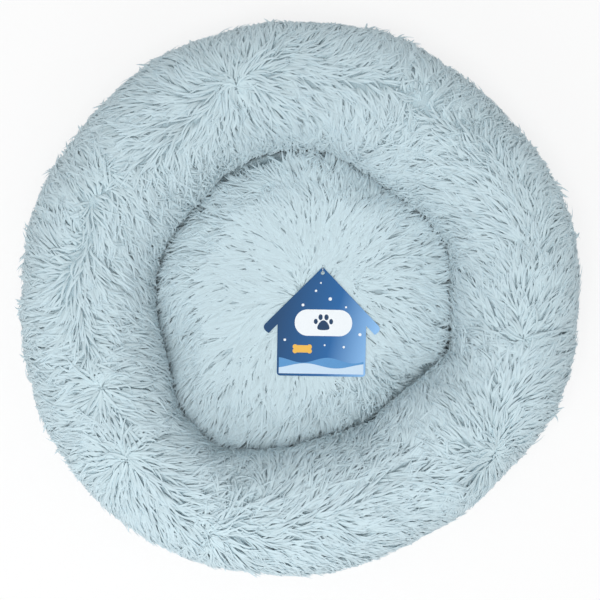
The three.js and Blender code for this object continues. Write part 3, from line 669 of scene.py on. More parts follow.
def pile_tree(material):
    """The tree that grows tapered locks on a growth surface, between two shares of a turn."""
    tree, given, add = new_tree("pile", (
        "Spacing", "Length", "Width", "Full Depth", "Wave", "Curl", "Spread", "Stiffness", "Lock Size",
        "Gather", "From Turn", "To Turn", "Lowest", "Highest"), Surface="Object", Seed="Int")
    marks = {name: add("GeometryNodeInputNamedAttribute", name, data_type=kind) for kind, names in (
        ("FLOAT_VECTOR", (*GROWTH_VECTORS, "root")), ("FLOAT", (*GROWTH_NUMBERS, *LOCK_MARKS[1:])))
        for name in names}

    # Roots are strewn over the sector, and near a whorl's middle they draw back towards it
    spread = add("GeometryNodeDistributePointsOnFaces", given["Geometry"], Distance_Min=given["Spacing"],
                 Density_Max=ROOTS_PER_SQUARE_METRE, Seed=given["Seed"], distribute_method="POISSON")
    position = add("GeometryNodeInputPosition")
    x, y, _ = add("SeparateXYZ", position).node.outputs
    turn = add("Math.FRACT", add("Math.DIVIDE", add("Math.ARCTAN2", y, x), 2 * math.pi))
    outside = add("Math.MAXIMUM", add("Math.LESS_THAN", turn, given["From Turn"]),
                  add("Math.GREATER_THAN", turn, given["To Turn"]))
    points = add("GeometryNodeDeleteGeometry", spread, outside, domain="POINT")
    scatter = add("FunctionNodeRandomValue", (-1, -1, -1), (1, 1, 1), data_type="FLOAT_VECTOR",
                  Seed=add("Math.ADD", given["Seed"], SCATTER_DRAW))
    scatter = add("VectorMath.SUBTRACT", scatter, add("VectorMath.PROJECT", scatter, marks["grow"]))
    back = add("VectorMath.SCALE", marks["comb"], add("Math.MULTIPLY", marks["stray"], -1.0))
    room = add("Math.SUBTRACT", given["Spread"], add("Math.MULTIPLY", marks["stray"], STRAY_DRAW))
    scatter = add("VectorMath.SCALE", scatter, add("Math.MAXIMUM", room, 1 * MM))
    strewn = add("VectorMath.ADD", add("VectorMath.ADD", position, back), scatter)
    points = add("GeometryNodeStoreNamedAttribute", points, Name="root", Value=strewn,
                 data_type="FLOAT_VECTOR")
    for name, least, most, draw in LOCK_DRAWS:
        drawn = add("FunctionNodeRandomValue", least, most, Seed=add("Math.ADD", given["Seed"], draw),
                    data_type="FLOAT")
        points = add("GeometryNodeStoreNamedAttribute", points, Name=name, Value=drawn, data_type="FLOAT")
    line = add("GeometryNodeCurvePrimitiveLine", End=(1.0, 0.0, 0.0))
    steps = add("GeometryNodeResampleCurve", line, Count=LOCK_POINTS)
    curves = add("GeometryNodeInstanceOnPoints", points, Instance=steps)
    curves = add("GeometryNodeRealizeInstances", curves)

    # Locks that grow in one cell of a pattern sway, hook and rise alike, and gather at its middle
    t = add("GeometryNodeSplineParameter")
    root, depth, rough = marks["root"], marks["depth"], marks["ruffle"]
    cell = add("TexVoronoi", root, Scale=add("Math.DIVIDE", 1.0, given["Lock Size"])).node.outputs
    cell_sway, cell_hook, cell_low = add("SeparateXYZ", cell["Color"]).node.outputs
    sway, hook, low = (
        add("Math.MULTIPLY_ADD", shared, share, add("Math.MULTIPLY", marks[own], 1 - share))
        for shared, share, own in (
            (add("Math.MULTIPLY_ADD", cell_sway, 2.0, -1.0), SHARED_SWAY, "sway"),
            (add("Math.MULTIPLY_ADD", cell_hook, 2.0, -1.0), SHARED_HOOK, "hook"),
            (cell_low, SHARED_RISE, "rise")))
    to_cell = add("VectorMath.DOT_PRODUCT", add("VectorMath.SUBTRACT", cell["Position"], root),
                  marks["beside"])
    gathered = add("Math.MULTIPLY", add("Math.MULTIPLY", to_cell, given["Gather"]), t)
    length = add("Math.MULTIPLY", given["Length"], marks["reach"])
    fullness = add("Math.DIVIDE", depth, given["Full Depth"])
    for share in (add("Math.MULTIPLY_ADD", fullness, LIP_CUT, 1 - LIP_CUT),
                  add("Math.MULTIPLY_ADD", cell_low, -LOW_CUT, 1 + HIGH_GAIN),
                  add("Math.MULTIPLY_ADD", rough, -RUFFLED_CUT, 1.0), marks["trim"]):
        length = add("Math.MULTIPLY", length, share)

    # Each lock is an arc: it leans by broad waves of the pile, and bends by its curl and its hook
    broad, fine = (add("Math.SUBTRACT", add("TexNoise", root, Scale=scale, Detail=1.0), 0.5)
                   for scale in (BROAD_WAVE_SCALE, CURL_SCALE))
    loose, hooked, dropped = (add("Math.MULTIPLY_ADD", rough, ruffled, tidy)
                              for tidy, ruffled in (LOCK_LEAN, LOCK_HOOK, LOCK_DROP))
    lean = add("Math.ADD", add("Math.MULTIPLY", broad, given["Wave"]), add("Math.MULTIPLY", sway, loose))
    curl = add("Math.MULTIPLY", given["Curl"], add("Math.MULTIPLY_ADD", rough, RUFFLED_CURL, 1.0))
    bend = add("Math.MULTIPLY_ADD", fine, curl, add("Math.MULTIPLY", hook, hooked))
    sweep = add("Math.MAXIMUM", add("Math.MULTIPLY_ADD", bend, 2.0, LEAST_SWEEP), -MOST_SWEEP)
    sweep = add("Math.MINIMUM", sweep, MOST_SWEEP)
    swept = add("Math.MULTIPLY", sweep, t)
    arm = add("Math.DIVIDE", length, sweep)
    ahead = add("VectorMath.SCALE", marks["comb"], add("Math.MULTIPLY", arm, add("Math.SINE", swept)))
    aside = add("Math.MULTIPLY_ADD", arm, add("Math.SUBTRACT", 1.0, add("Math.COSINE", swept)),
                add("Math.MULTIPLY", length, add("Math.MULTIPLY", lean, t)))
    across = add("VectorMath.SCALE", marks["beside"], add("Math.ADD", aside, gathered))
    reached = add("VectorMath.ADD", root, add("VectorMath.ADD", ahead, across))

    # It rises off the knit at once, then follows the surface, or runs straight where it is stiff
    surface = add("GeometryNodeObjectInfo", given["Surface"], output="Geometry")
    nearest = add("GeometryNodeProximity", surface, Sample_Position=reached, target_element="FACES")
    up = add("GeometryNodeSampleNearestSurface", surface, Value=marks["grow"], Sample_Position=reached,
             data_type="FLOAT_VECTOR")
    rise = add("Math.SUBTRACT", 1.0, add("Math.POWER", add("Math.SUBTRACT", 1.0, t), RISE_POWER))
    early = add("Math.MINIMUM", MOST_EARLY_RISE, add("Math.MULTIPLY", marks["stray"], STRAY_RISE))
    rise = add("Math.MAXIMUM", rise, early)
    drop = add("Math.MULTIPLY", low, add("Math.MULTIPLY_ADD", marks["stiff"], STIFF_DROP, dropped))
    full = add("Math.MULTIPLY", depth, add("Math.SUBTRACT", 1.0, drop))
    height = add("Math.MULTIPLY", full, rise)
    lying = add("VectorMath.ADD", nearest, add("VectorMath.SCALE", up, height))
    straight = add("VectorMath.ADD", reached, add("VectorMath.SCALE", marks["grow"], height))
    stiff = add("Math.MAXIMUM", marks["stiff"], given["Stiffness"])
    x, y, z = add("SeparateXYZ", add("Mix", stiff, lying, straight, data_type="VECTOR")).node.outputs
    level = add("Math.MINIMUM", add("Math.MAXIMUM", z, given["Lowest"]), given["Highest"])
    laid = add("GeometryNodeSetPosition", curves, Position=add("CombineXYZ", x, y, level))
    laid = add("GeometryNodeSetCurveNormal", laid, Normal=marks["beside"], mode="FREE")
    laid = add("GeometryNodeStoreNamedAttribute", laid, Name="along", Value=t, data_type="FLOAT")

    # A flat three-sided section gives each lock its body
    taper = add("FloatCurve", Value=t)
    thickness = taper.node.mapping.curves[0].points
    thickness[0].location, thickness[1].location = LOCK_TAPER[0], LOCK_TAPER[-1]
    for place in LOCK_TAPER[1:-1]:
        thickness.new(*place)
    taper.node.mapping.update()
    girth = add("Math.MULTIPLY", marks["girth"], taper)
    size = add("Math.MULTIPLY", add("Math.MULTIPLY", given["Width"], 0.5), girth)
    profile = add("GeometryNodeCurvePrimitiveCircle", Resolution=3, Radius=1.0)
    profile = add("GeometryNodeTransform", profile, Rotation=(0.0, 0.0, math.pi / 2))
    profile = add("GeometryNodeTransform", profile, Scale=(LOCK_WIDENING, LOCK_FLATNESS, 1.0))
    for name, value in (("around", t), ("foot", add("Math.GREATER_THAN", marks["around"], 0.1))):
        profile = add("GeometryNodeStoreNamedAttribute", profile, Name=name, Value=value, data_type="FLOAT")
    locks = add("GeometryNodeCurveToMesh", laid, profile, Scale=size, Fill_Caps=True)

    # Every lock is mapped into the strip of one of a few kinds, and its foot edges stay sharp
    strip = add("Math.FLOOR", add("Math.MULTIPLY", marks["kind"], float(LOCK_KINDS)))
    u, v = (add("Math.MULTIPLY_ADD", marks[name], 1 - 2 * margin, margin)
            for name, margin in zip(("around", "along"), MAP_MARGINS))
    place = add("CombineXYZ", add("Math.DIVIDE", add("Math.ADD", strip, u), float(LOCK_KINDS)), v)
    mapped = add("GeometryNodeStoreNamedAttribute", locks, Name="OFBake", Value=place, data_type="FLOAT2",
                 domain="CORNER")
    smooth = add("GeometryNodeSetShadeSmooth", mapped)
    smooth = add("GeometryNodeSetShadeSmooth", smooth, add("Math.GREATER_THAN", marks["foot"], 0.75), False,
                 domain="EDGE")
    end_tree(add, smooth, material)
    return tree


def grow_pile(name, growth, sectors, values):
    """The pile of one cover, in a piece for each sector of the bed."""
    for index in range(sectors):
        sector = {"Surface": growth, "From Turn": index / sectors, "To Turn": (index + 1) / sectors}
        piece = grown(f"{name}_{index + 1}", pile, {**values, **sector}, growth.data.copy())
        drop_marks(piece.data, [mark for mark in (*GROWTH_VECTORS, *GROWTH_NUMBERS, *LOCK_MARKS)
                                if mark in piece.data.attributes])
        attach(piece, "bed")


pile = pile_tree(pile_material())
ring_values = {
    "Spacing": STRAND_SPACING * MM, "Length": RING_PILE_LENGTH * MM, "Width": STRAND_WIDTH * MM,
    "Full Depth": RING_PILE_DEPTH * MM, "Wave": 2.4, "Curl": 1.7, "Spread": ROOT_SPREAD * MM,
    "Stiffness": 0.22, "Lock Size": LOCK_SIZE * MM, "Gather": 0.75, "Lowest": FLOOR_GAP * MM,
    "Highest": 1.0, "Seed": 3,
}
cushion_values = {
    **ring_values, "Spacing": CUSHION_STRAND_SPACING * MM, "Width": CUSHION_STRAND_WIDTH * MM,
    "Length": CUSHION_PILE_LENGTH * MM, "Full Depth": CUSHION_PILE_DEPTH * MM, "Wave": 1.75,
    "Highest": (CROWN_HEIGHT - CUSHION_PILE_ROOM) * MM, "Seed": 11,
}
grow_pile("bolster_pile", ring_growth, RING_SECTORS, ring_values)
grow_pile("cushion_pile", cushion_growth, CUSHION_SECTORS, cushion_values)

# Knitted backings
# The cloth that the pile is knitted into, one under the ring's pile and one under the cushion's. The
# stuffing behind them fills them out.
BACKING_THICKNESS = 1.6
KNIT_LOOP = 2.6
BACKING_COLOR = "#C8DCE3"
BACKING_SHADE_COLOR = "#B6CCD4"


def pattern_on(shader, pattern, low, high, strength=0, distance=0):
    """Colours a surface between two hex colours by a pattern, and may tilt it by the pattern, as if
    that stood up by a distance in millimetres."""
    tree = shader.id_data
    feed(shader, "Base Color", add_node(tree, "Mix", pattern, linear(low), linear(high), data_type="RGBA"))
    if strength:
        feed(shader, "Normal", add_node(tree, "Bump", Height=pattern, Strength=strength,
                                        Distance=distance * MM))


def around_and_up(add, radius):
    """How far round the bed a place lies, in metres at a radius in millimetres, with its radius from
    the middle and its height."""
    x, y, z = add("SeparateXYZ", add("TexCoord", output="Object")).node.outputs
    turn = add("Math.ARCTAN2", y, x)
    squared = add("Math.ADD", add("Math.MULTIPLY", x, x), add("Math.MULTIPLY", y, y))
    return add("Math.MULTIPLY", turn, radius * MM), add("Math.SQRT", squared), z


def wave_of(add, place, gap):
    """A sine from -1 to 1 along a length, with a period in millimetres."""
    return add("Math.SINE", add("Math.MULTIPLY", place, 2 * math.pi / (gap * MM)))


# The knit shows rows of loops, drawn at twice their real size so that they show between the locks.
knit, add, shader = new_material("polyester_knit", roughness=0.9)
along, away, up = around_and_up(add, CREST_RADIUS)
courses = wave_of(add, along, KNIT_LOOP)
wales = wave_of(add, add("Math.ADD", away, up), KNIT_LOOP)
loops = add("Math.MULTIPLY_ADD", add("Math.MULTIPLY", courses, wales), 0.5, 0.5)
pattern_on(shader, loops, BACKING_SHADE_COLOR, BACKING_COLOR, strength=0.4, distance=0.3)
for growth, name, node in ((ring_growth, "bolster_backing", "bolster_cover"),
                           (cushion_growth, "cushion_backing", "cushion_cover")):
    piece = new_object(name, growth.data.copy())
    drop_marks(piece.data, (*GROWTH_VECTORS, *GROWTH_NUMBERS))
    wall = piece.modifiers.new("wall", "SOLIDIFY")
    wall.thickness = BACKING_THICKNESS * MM
    wall.offset = -1
    applied(piece).data.materials.append(knit)
    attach(piece, "bed")
    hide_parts(node)
    bpy.data.objects.remove(growth)

# Stuffing
# Hollow polyester fibre, carded and blown into the ring and the cushion, where it lies in soft tufts.
# It is loose: the covers and the base hold it in.
FIBRE_COLOR = "#F2F2EE"
FIBRE_SHADE_COLOR = "#DCDCD6"
FIBRE_TUFT_SIZE = 30
FIBRE_TUFT_DEPTH = 3
CAD_MERGE_GAP = 0.01


def merged_copy(name, node):
    """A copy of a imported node's mesh, its loose triangles joined."""
    made = new_object(name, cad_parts[node].data.copy())
    made.data.materials.clear()
    merge_doubles(made.data, CAD_MERGE_GAP)
    return made


def speckled_material(name, low, high, speckle, roughness, strength=0, distance=0, **others):
    """A material between two hex colours by a fine noise, which may tilt its surface too. Also gives
    what adds nodes to it, its shader and the noise."""
    material, add, shader = new_material(name, roughness, **others)
    specks = add("TexNoise", add("TexCoord", output="Object"), **speckle)
    pattern_on(shader, specks, low, high, strength, distance)
    return material, add, shader, specks


# Hollow fibre is a matt white tangle.
hollow_fibre, *_ = speckled_material(
    "hollow_polyester_fibre", FIBRE_SHADE_COLOR, FIBRE_COLOR,
    {"Scale": 900, "Detail": 4, "Distortion": 2.5},
    roughness=0.95, strength=0.8, distance=1.2, Sheen_Weight=0.3)
for name, node in (("bolster_fibre", "bolster_filling"), ("cushion_fibre", "cushion_filling")):
    piece = merged_copy(name, node)
    rounder = piece.modifiers.new("rounder", "SUBSURF")
    rounder.subdivision_type = "SIMPLE"
    rounder.levels = rounder.render_levels = 1
    tufts = piece.modifiers.new("tufts", "DISPLACE")
    tufts.texture = bpy.data.textures.new("tufts", "CLOUDS")
    tufts.texture.noise_scale = FIBRE_TUFT_SIZE * MM
    tufts.mid_level = -1
    tufts.strength = -FIBRE_TUFT_DEPTH * MM
    applied(piece).data.materials.append(hollow_fibre)
    smooth_faces(piece.data)
    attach(piece, "bed")
    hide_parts(node)

# Inner wall
# A strip of white non-woven polypropylene, sewn upright round the cushion, that keeps the stuffing of
# the ring apart from that of the middle.
BOND_GAP = 2.4
BOND_COLOR = "#D4D8D6"
NON_WOVEN_COLOR = "#EEF0EE"


def show_nodes(material, *nodes):
    """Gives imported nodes, whose shape stays, their finish."""
    for node in nodes:
        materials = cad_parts[node].data.materials
        materials.clear()
        materials.append(material)


# Spun-bonded cloth is flat and fibrous, with a grid of small pressed points.
non_woven, add, shader = new_material("spun_bonded_polypropylene", roughness=0.75)
points = add("TexVoronoi", add("TexCoord", output="Object"), Scale=1 / (BOND_GAP * MM), Randomness=0.15)
pressed = add("MapRange", points, 0.18, 0.32)
pattern_on(shader, pressed, BOND_COLOR, NON_WOVEN_COLOR, strength=0.5, distance=0.3)
show_nodes(non_woven, "inner_wall")

# Seam tapes
# Grey woven polyester tape: one lies along the seam of the crevice, between the two covers, and one binds the
# edge of the base inside the ring. The crevice tape is a real seam, but its dark colour showing between the
# hems also stands in for the shade deep in the crevice: partly painted shade.
TAPE_RIB = 1.6
TAPE_DARK_COLOR = "#39464C"
TAPE_LIGHT_COLOR = "#5A686E"

# Tape is ribbed across its length, with a soft shine on the ribs.
seam_tape, add, shader = new_material("woven_polyester_tape", roughness=0.7, Sheen_Weight=0.2)
along, away, up = around_and_up(add, CREVICE_RADIUS)
ribs = add("Math.MULTIPLY_ADD", wave_of(add, along, TAPE_RIB), 0.5, 0.5)
pattern_on(shader, ribs, TAPE_DARK_COLOR, TAPE_LIGHT_COLOR, strength=0.6, distance=0.3)
show_nodes(seam_tape, "crevice_tape", "base_binding")

# Base
# Two halves of grey plain-woven polyester, coated inside, sewn together and into the foot of the ring.
# The middle stands a little off the floor, and soft grip dots are printed on the underside.
ARCH_HEIGHT = 10
ARCH_RADIUS = 168
ARCH_SLOPE_LENGTH = 27
BASE_RADIUS = 298
ZIP_LENGTH = 260
WEAVE_GAP = 1.9
BASE_DARK_COLOR = "#687378"
BASE_LIGHT_COLOR = "#8E9A9F"
DOT_PITCH = 11
DOT_RADIUS = 1.6
DOT_HEIGHT = 0.25
DOT_RIM_GAP = 14
DOT_SLOPE_GAP = 3
DOT_ZIP_GAPS = (36, 15)
DOT_COLOR = "#3D474C"
DOT_LIGHT_COLOR = "#4A555A"


def weave_height(add, across, along, gap):
    """The height of a plain weave, where each thread goes over one and under the next. It is drawn two
    to four times as coarse as the cloth, so that it shows."""
    warp, weft = (wave_of(add, place, gap * 2) for place in (across, along))
    over = add("Clamp", add("Math.MULTIPLY_ADD", add("Math.MULTIPLY", warp, weft), 3.0, 0.5))
    under = add("Math.SUBTRACT", 1.0, over)
    return add("Math.ADD", add("Math.MULTIPLY", add("Math.ABSOLUTE", warp), over),
               add("Math.MULTIPLY", add("Math.ABSOLUTE", weft), under))


# The cloth shows its threads, and broad faint blotches where the coating took up more dye.
base_cloth, add, shader = new_material("plain_woven_polyester", roughness=0.8, Sheen_Weight=0.15)
place = add("TexCoord", output="Object")
x, y, _ = add("SeparateXYZ", place).node.outputs
threads = weave_height(add, x, y, WEAVE_GAP)
blotches = add("TexNoise", place, Scale=22.0, Detail=3.0)
mottled = add("Math.MULTIPLY_ADD", blotches, 0.5, add("Math.MULTIPLY", threads, 0.6))
pattern_on(shader, mottled, BASE_DARK_COLOR, BASE_LIGHT_COLOR)
feed(shader, "Normal", add("Bump", Height=threads, Strength=0.6, Distance=0.35 * MM))
show_nodes(base_cloth, "base_front", "base_rear")

# Grip dots are screen-printed soft PVC: dark, rubbery and slightly domed.
grip_print, *_ = speckled_material(
    "soft_pvc_print", DOT_COLOR, DOT_LIGHT_COLOR, {"Scale": 1400, "Detail": 2},
    roughness=0.55, strength=0.2, distance=0.05)

# The dots stand in rows, every other row half a pitch along. None is on the arch's slope, near the
# zip or past the rim.
tree, given, add = new_tree("grip_dots", ("Pitch", "Dot Radius", "Dot Height", "Outer Radius", "Arch Radius",
                                          "Slope Radius", "Arch Height", "Clear X", "Clear Y"))
reach = add("Math.MULTIPLY", given["Outer Radius"], 2.0)
count = add("Math.ADD", add("Math.ROUND", add("Math.DIVIDE", reach, given["Pitch"])), 1.0)
grid = add("GeometryNodeMeshGrid", reach, reach, count, count)
x, y, _ = add("SeparateXYZ", add("GeometryNodeInputPosition")).node.outputs
row = add("Math.ROUND", add("Math.DIVIDE", y, given["Pitch"]))
odd = add("Math.MODULO", add("Math.ABSOLUTE", row), 2.0)
x = add("Math.ADD", x, add("Math.MULTIPLY", add("Math.MULTIPLY", odd, 0.5), given["Pitch"]))
radius = add("VectorMath.LENGTH", add("CombineXYZ", x, y))
level = add("MapRange", radius, given["Arch Radius"], given["Slope Radius"], given["Arch Height"], 0.0)
beyond = add("Math.GREATER_THAN", radius, given["Outer Radius"])
on_slope = add("Math.MULTIPLY", add("Math.GREATER_THAN", radius, given["Arch Radius"]),
               add("Math.LESS_THAN", radius, given["Slope Radius"]))
at_zip = add("Math.MULTIPLY", add("Math.LESS_THAN", add("Math.ABSOLUTE", x), given["Clear X"]),
             add("Math.LESS_THAN", add("Math.ABSOLUTE", y), given["Clear Y"]))
off = add("Math.MAXIMUM", beyond, add("Math.MAXIMUM", on_slope, at_zip))
# The places are read before they move, so the choice is stored with each point
marked = add("GeometryNodeStoreNamedAttribute", grid, Name="off", Value=off, data_type="FLOAT")
staggered = add("GeometryNodeSetPosition", marked, Position=add("CombineXYZ", x, y, level))
left_out = add("GeometryNodeInputNamedAttribute", "off", data_type="FLOAT")
kept = add("GeometryNodeDeleteGeometry", staggered, left_out)
dome = add("GeometryNodeMeshCone", Vertices=10, Radius_Bottom=given["Dot Radius"],
           Radius_Top=add("Math.MULTIPLY", given["Dot Radius"], 0.6), Depth=given["Dot Height"])
turned_over = add("GeometryNodeTransform", dome, Rotation=(math.pi, 0.0, 0.0))
dots = add("GeometryNodeInstanceOnPoints", kept, Instance=turned_over)
end_tree(add, dots, grip_print)
piece = grown("grip_dots", tree, {
    "Pitch": DOT_PITCH * MM, "Dot Radius": DOT_RADIUS * MM, "Dot Height": DOT_HEIGHT * MM,
    "Outer Radius": (BASE_RADIUS - DOT_RIM_GAP) * MM, "Arch Radius": (ARCH_RADIUS - DOT_SLOPE_GAP) * MM,
    "Slope Radius": (ARCH_RADIUS + ARCH_SLOPE_LENGTH + DOT_SLOPE_GAP) * MM,
    "Arch Height": ARCH_HEIGHT * MM, "Clear X": (ZIP_LENGTH / 2 + DOT_ZIP_GAPS[0]) * MM,
    "Clear Y": DOT_ZIP_GAPS[1] * MM,
})
drop_marks(piece.data, ["off"])
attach(piece, "bed")

# Stitches of the base
# Spun polyester thread in lockstitch: round the hem where the ring is sewn to the base, along both
# sides of the zip, and across the end of the label.
STITCH_LENGTH = 3.2
STITCH_PITCH = 4.2
STITCH_RISE = 0.35
THREAD_RADIUS = 0.32
HEM_INSET = 7
HEM_STEPS = 96
ZIP_STITCH_END = 4
ZIP_STITCH_Y = 8.6
LABEL_NEAR_X = 136
LABEL_WIDTH = 24
LABEL_FOOT = 9.2
LABEL_STITCH_INSET = 2
LABEL_STITCH_Y = -2.5
THREAD_DARK_COLOR = "#A3ADB1"
THREAD_LIGHT_COLOR = "#C4CCCF"

# Thread is spun from short fibres, so that its colour is uneven.
thread, *_ = speckled_material(
    "spun_polyester_thread", THREAD_DARK_COLOR, THREAD_LIGHT_COLOR, {"Scale": 1800, "Detail": 1},
    roughness=0.6, strength=0.4, distance=0.1, Sheen_Weight=0.2)

# Each stitch is a bow of thread that turns with the path it is sewn along.
tree, given, add = new_tree("stitches", ("Pitch", "Stitch Length", "Rise", "Thread Radius"))
path = add("GeometryNodeMeshToCurve", given["Geometry"])
even = add("GeometryNodeResampleCurve", path, Length=given["Pitch"], mode="LENGTH")
facing = add("FunctionNodeAlignRotationToVector", Vector=add("GeometryNodeInputTangent"), axis="X",
             pivot_axis="Z")
half = add("Math.MULTIPLY", given["Stitch Length"], 0.5)
bow = add("GeometryNodeCurveQuadraticBezier", Resolution=4, End=add("CombineXYZ", half),
          Start=add("CombineXYZ", add("Math.MULTIPLY", half, -1.0)),
          Middle=add("CombineXYZ", Z=add("Math.MULTIPLY", given["Rise"], -2.0)))
strand = add("GeometryNodeCurvePrimitiveCircle", Resolution=5, Radius=given["Thread Radius"])
bent = add("GeometryNodeCurveToMesh", bow, strand, Fill_Caps=True)
end_tree(add, add("GeometryNodeInstanceOnPoints", even, Instance=bent, Rotation=facing), thread)


def path_mesh(name, points, closed):
    """Edges along a row of points in millimetres, for stitches to follow."""
    mesh = bpy.data.meshes.new(name)
    edges = [(at, (at + 1) % len(points)) for at in range(len(points) - (0 if closed else 1))]
    mesh.from_pydata([[v * MM for v in point] for point in points], edges, [])
    return mesh


hem_radius = BASE_RADIUS - HEM_INSET
hem = [(hem_radius * math.cos(a), hem_radius * math.sin(a), 0)
       for a in np.linspace(0, 2 * math.pi, HEM_STEPS + 1)[:-1]]
zip_end = ZIP_LENGTH / 2 + ZIP_STITCH_END
beside_zip = [(x * zip_end, y * ZIP_STITCH_Y, ARCH_HEIGHT) for x, y in ((-1, -1), (1, -1), (1, 1), (-1, 1))]
across_label = [(x, LABEL_STITCH_Y, LABEL_FOOT) for x in (
    LABEL_NEAR_X + LABEL_STITCH_INSET, LABEL_NEAR_X + LABEL_WIDTH - LABEL_STITCH_INSET)]
for name, points, closed, slot in (("hem_stitches", hem, True, "seam_tape"),
                                   ("zip_stitches", beside_zip, True, "zip_cloth"),
                                   ("label_stitches", across_label, False, "woven_label")):
    piece = grown(name, tree, {"Pitch": STITCH_PITCH * MM, "Stitch Length": STITCH_LENGTH * MM,
                               "Rise": STITCH_RISE * MM, "Thread Radius": THREAD_RADIUS * MM},
                  path_mesh(name, points, closed))
    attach(piece, "bed")

# Label
# A strip of white satin ribbon, left blank, sewn in beside the zip at its closed end.
SATIN_RIB = 0.9
SATIN_COLOR = "#F4F4F2"
SATIN_SHADE_COLOR = "#DFE0DE"

# Satin shows long floats along its length, and shines across them.
satin, add, shader = new_material("polyester_satin_ribbon", roughness=0.4, Sheen_Weight=0.3)
along = add("SeparateXYZ", add("TexCoord", output="Object"))
floats = add("Math.MULTIPLY_ADD", wave_of(add, along, SATIN_RIB), 0.5, 0.5)
pattern_on(shader, floats, SATIN_SHADE_COLOR, SATIN_COLOR, strength=0.3, distance=0.1)
show_nodes(satin, "care_label")

# Zip
# A coil zip, upside down under the base: two herringbone tapes, each with a spiral of nylon sewn along
# its edge, a pressed stop at each end and a cast slider with a tab.
ZIP_TWILL = 1.5
ZIP_TAPE_MIDDLE = 7
ZIP_DARK_COLOR = "#566167"
ZIP_LIGHT_COLOR = "#79858B"
COIL_GAP = 1.4
COIL_WIDTH = 2.7
COIL_HEIGHT = 2.4
COIL_TOP = 11.2
COIL_LENGTH = 252.6
COIL_PITCH = 1.6
COIL_WIRE = 0.7
COIL_DARK_COLOR = "#4E595F"
COIL_COLOR = "#59646A"

# Twill runs in slanting ribs that change their slant along the middle of the tape.
zip_cloth, add, shader = new_material("herringbone_polyester_tape", roughness=0.75, Sheen_Weight=0.15)
x, y, _ = add("SeparateXYZ", add("TexCoord", output="Object")).node.outputs
slant = add("Math.ABSOLUTE", add("Math.SUBTRACT", add("Math.ABSOLUTE", y), ZIP_TAPE_MIDDLE * MM))
twill = add("Math.MULTIPLY_ADD", wave_of(add, add("Math.ADD", x, slant), ZIP_TWILL), 0.5, 0.5)
pattern_on(shader, twill, ZIP_DARK_COLOR, ZIP_LIGHT_COLOR, strength=0.5, distance=0.2)
show_nodes(zip_cloth, "zip_tape_front", "zip_tape_rear")

# The nylon of the coil is drawn filament, smooth and slightly glossy.
coil_nylon, *_ = speckled_material("drawn_nylon", COIL_DARK_COLOR, COIL_COLOR,
                                   {"Scale": 400, "Detail": 1}, roughness=0.35)

# The filament is wound round an upright, squeezed to the coil's section and laid along the zip.
tree, given, add = new_tree("zip_spiral", ("Length", "Pitch", "Width", "Height", "Wire"))
spiral = add("GeometryNodeCurveSpiral", Resolution=8, Start_Radius=0.5, End_Radius=0.5,
             Rotations=add("Math.DIVIDE", given["Length"], given["Pitch"]), Height=given["Length"])
size = add("CombineXYZ", add("Math.SUBTRACT", given["Height"], given["Wire"]),
           add("Math.SUBTRACT", given["Width"], given["Wire"]), 1.0)
squeezed = add("GeometryNodeTransform", spiral, Scale=size)
laid = add("GeometryNodeTransform", squeezed, Rotation=(0.0, math.pi / 2, 0.0))
wire = add("GeometryNodeCurvePrimitiveCircle", Resolution=6, Radius=add("Math.MULTIPLY", given["Wire"], 0.5))
end_tree(add, add("GeometryNodeCurveToMesh", laid, wire, Fill_Caps=True), coil_nylon)


def moved(mesh, shift):
    """Moves a mesh by millimetres."""
    for vertex in mesh.vertices:
        vertex.co += Vector(shift) * MM


for side, name in ((-1, "front"), (1, "rear")):
    piece = grown(f"zip_spiral_{name}", tree, {
        "Length": COIL_LENGTH * MM, "Pitch": COIL_PITCH * MM, "Width": COIL_WIDTH * MM,
        "Height": COIL_HEIGHT * MM, "Wire": COIL_WIRE * MM})
    moved(piece.data, (-COIL_LENGTH / 2, side * (COIL_GAP + COIL_WIDTH) / 2, COIL_TOP - COIL_HEIGHT / 2))
    smooth_faces(piece.data)
    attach(piece, "bed")
    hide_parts(f"zip_coil_{name}")

# Zip metal
# The slider and its tab are cast in zinc and nickel-plated, the stops pressed from nickel silver.
METAL_COLOR = "#C9CACB"
METAL_WORN_COLOR = "#A9ABAD"
CAST_EDGE = 0.3

# Plated zinc shines softly, with fine scuffs that dull it in patches.
nickel_zinc, add, shader, scuffs = speckled_material(
    "nickel_plated_zinc", METAL_WORN_COLOR, METAL_COLOR, {"Scale": 260, "Detail": 5, "Roughness": 0.7},
    roughness=0.3, strength=0.15, distance=0.05, Metallic=1.0)
feed(shader, "Roughness", add("MapRange", scuffs, To_Min=0.2, To_Max=0.48))


def cast_copy(name, node, edge):
    """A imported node's shape with its sharp edges rounded, as a casting has them."""
    made = merged_copy(name, node)
    shape = bmesh.new()
    shape.from_mesh(made.data)
    bmesh.ops.dissolve_limit(shape, angle_limit=math.radians(1), verts=shape.verts, edges=shape.edges)
    shape.to_mesh(made.data)
    shape.free()
    rounding = made.modifiers.new("rounding", "BEVEL")
    rounding.width = edge * MM
    rounding.segments = 2
    rounding.limit_method = "ANGLE"
    rounding.angle_limit = math.radians(30)
    return applied(made)


for name, node, body in (("cast_slider", "zip_slider", "slider"), ("cast_tab", "zip_pull", "pull"),
                         ("pressed_top_stop", "zip_top_stop", "bed"),
                         ("pressed_bottom_stop", "zip_bottom_stop", "bed")):
    piece = cast_copy(name, node, CAST_EDGE)
    piece.data.materials.append(nickel_zinc)
    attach(piece, body)
    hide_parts(node)

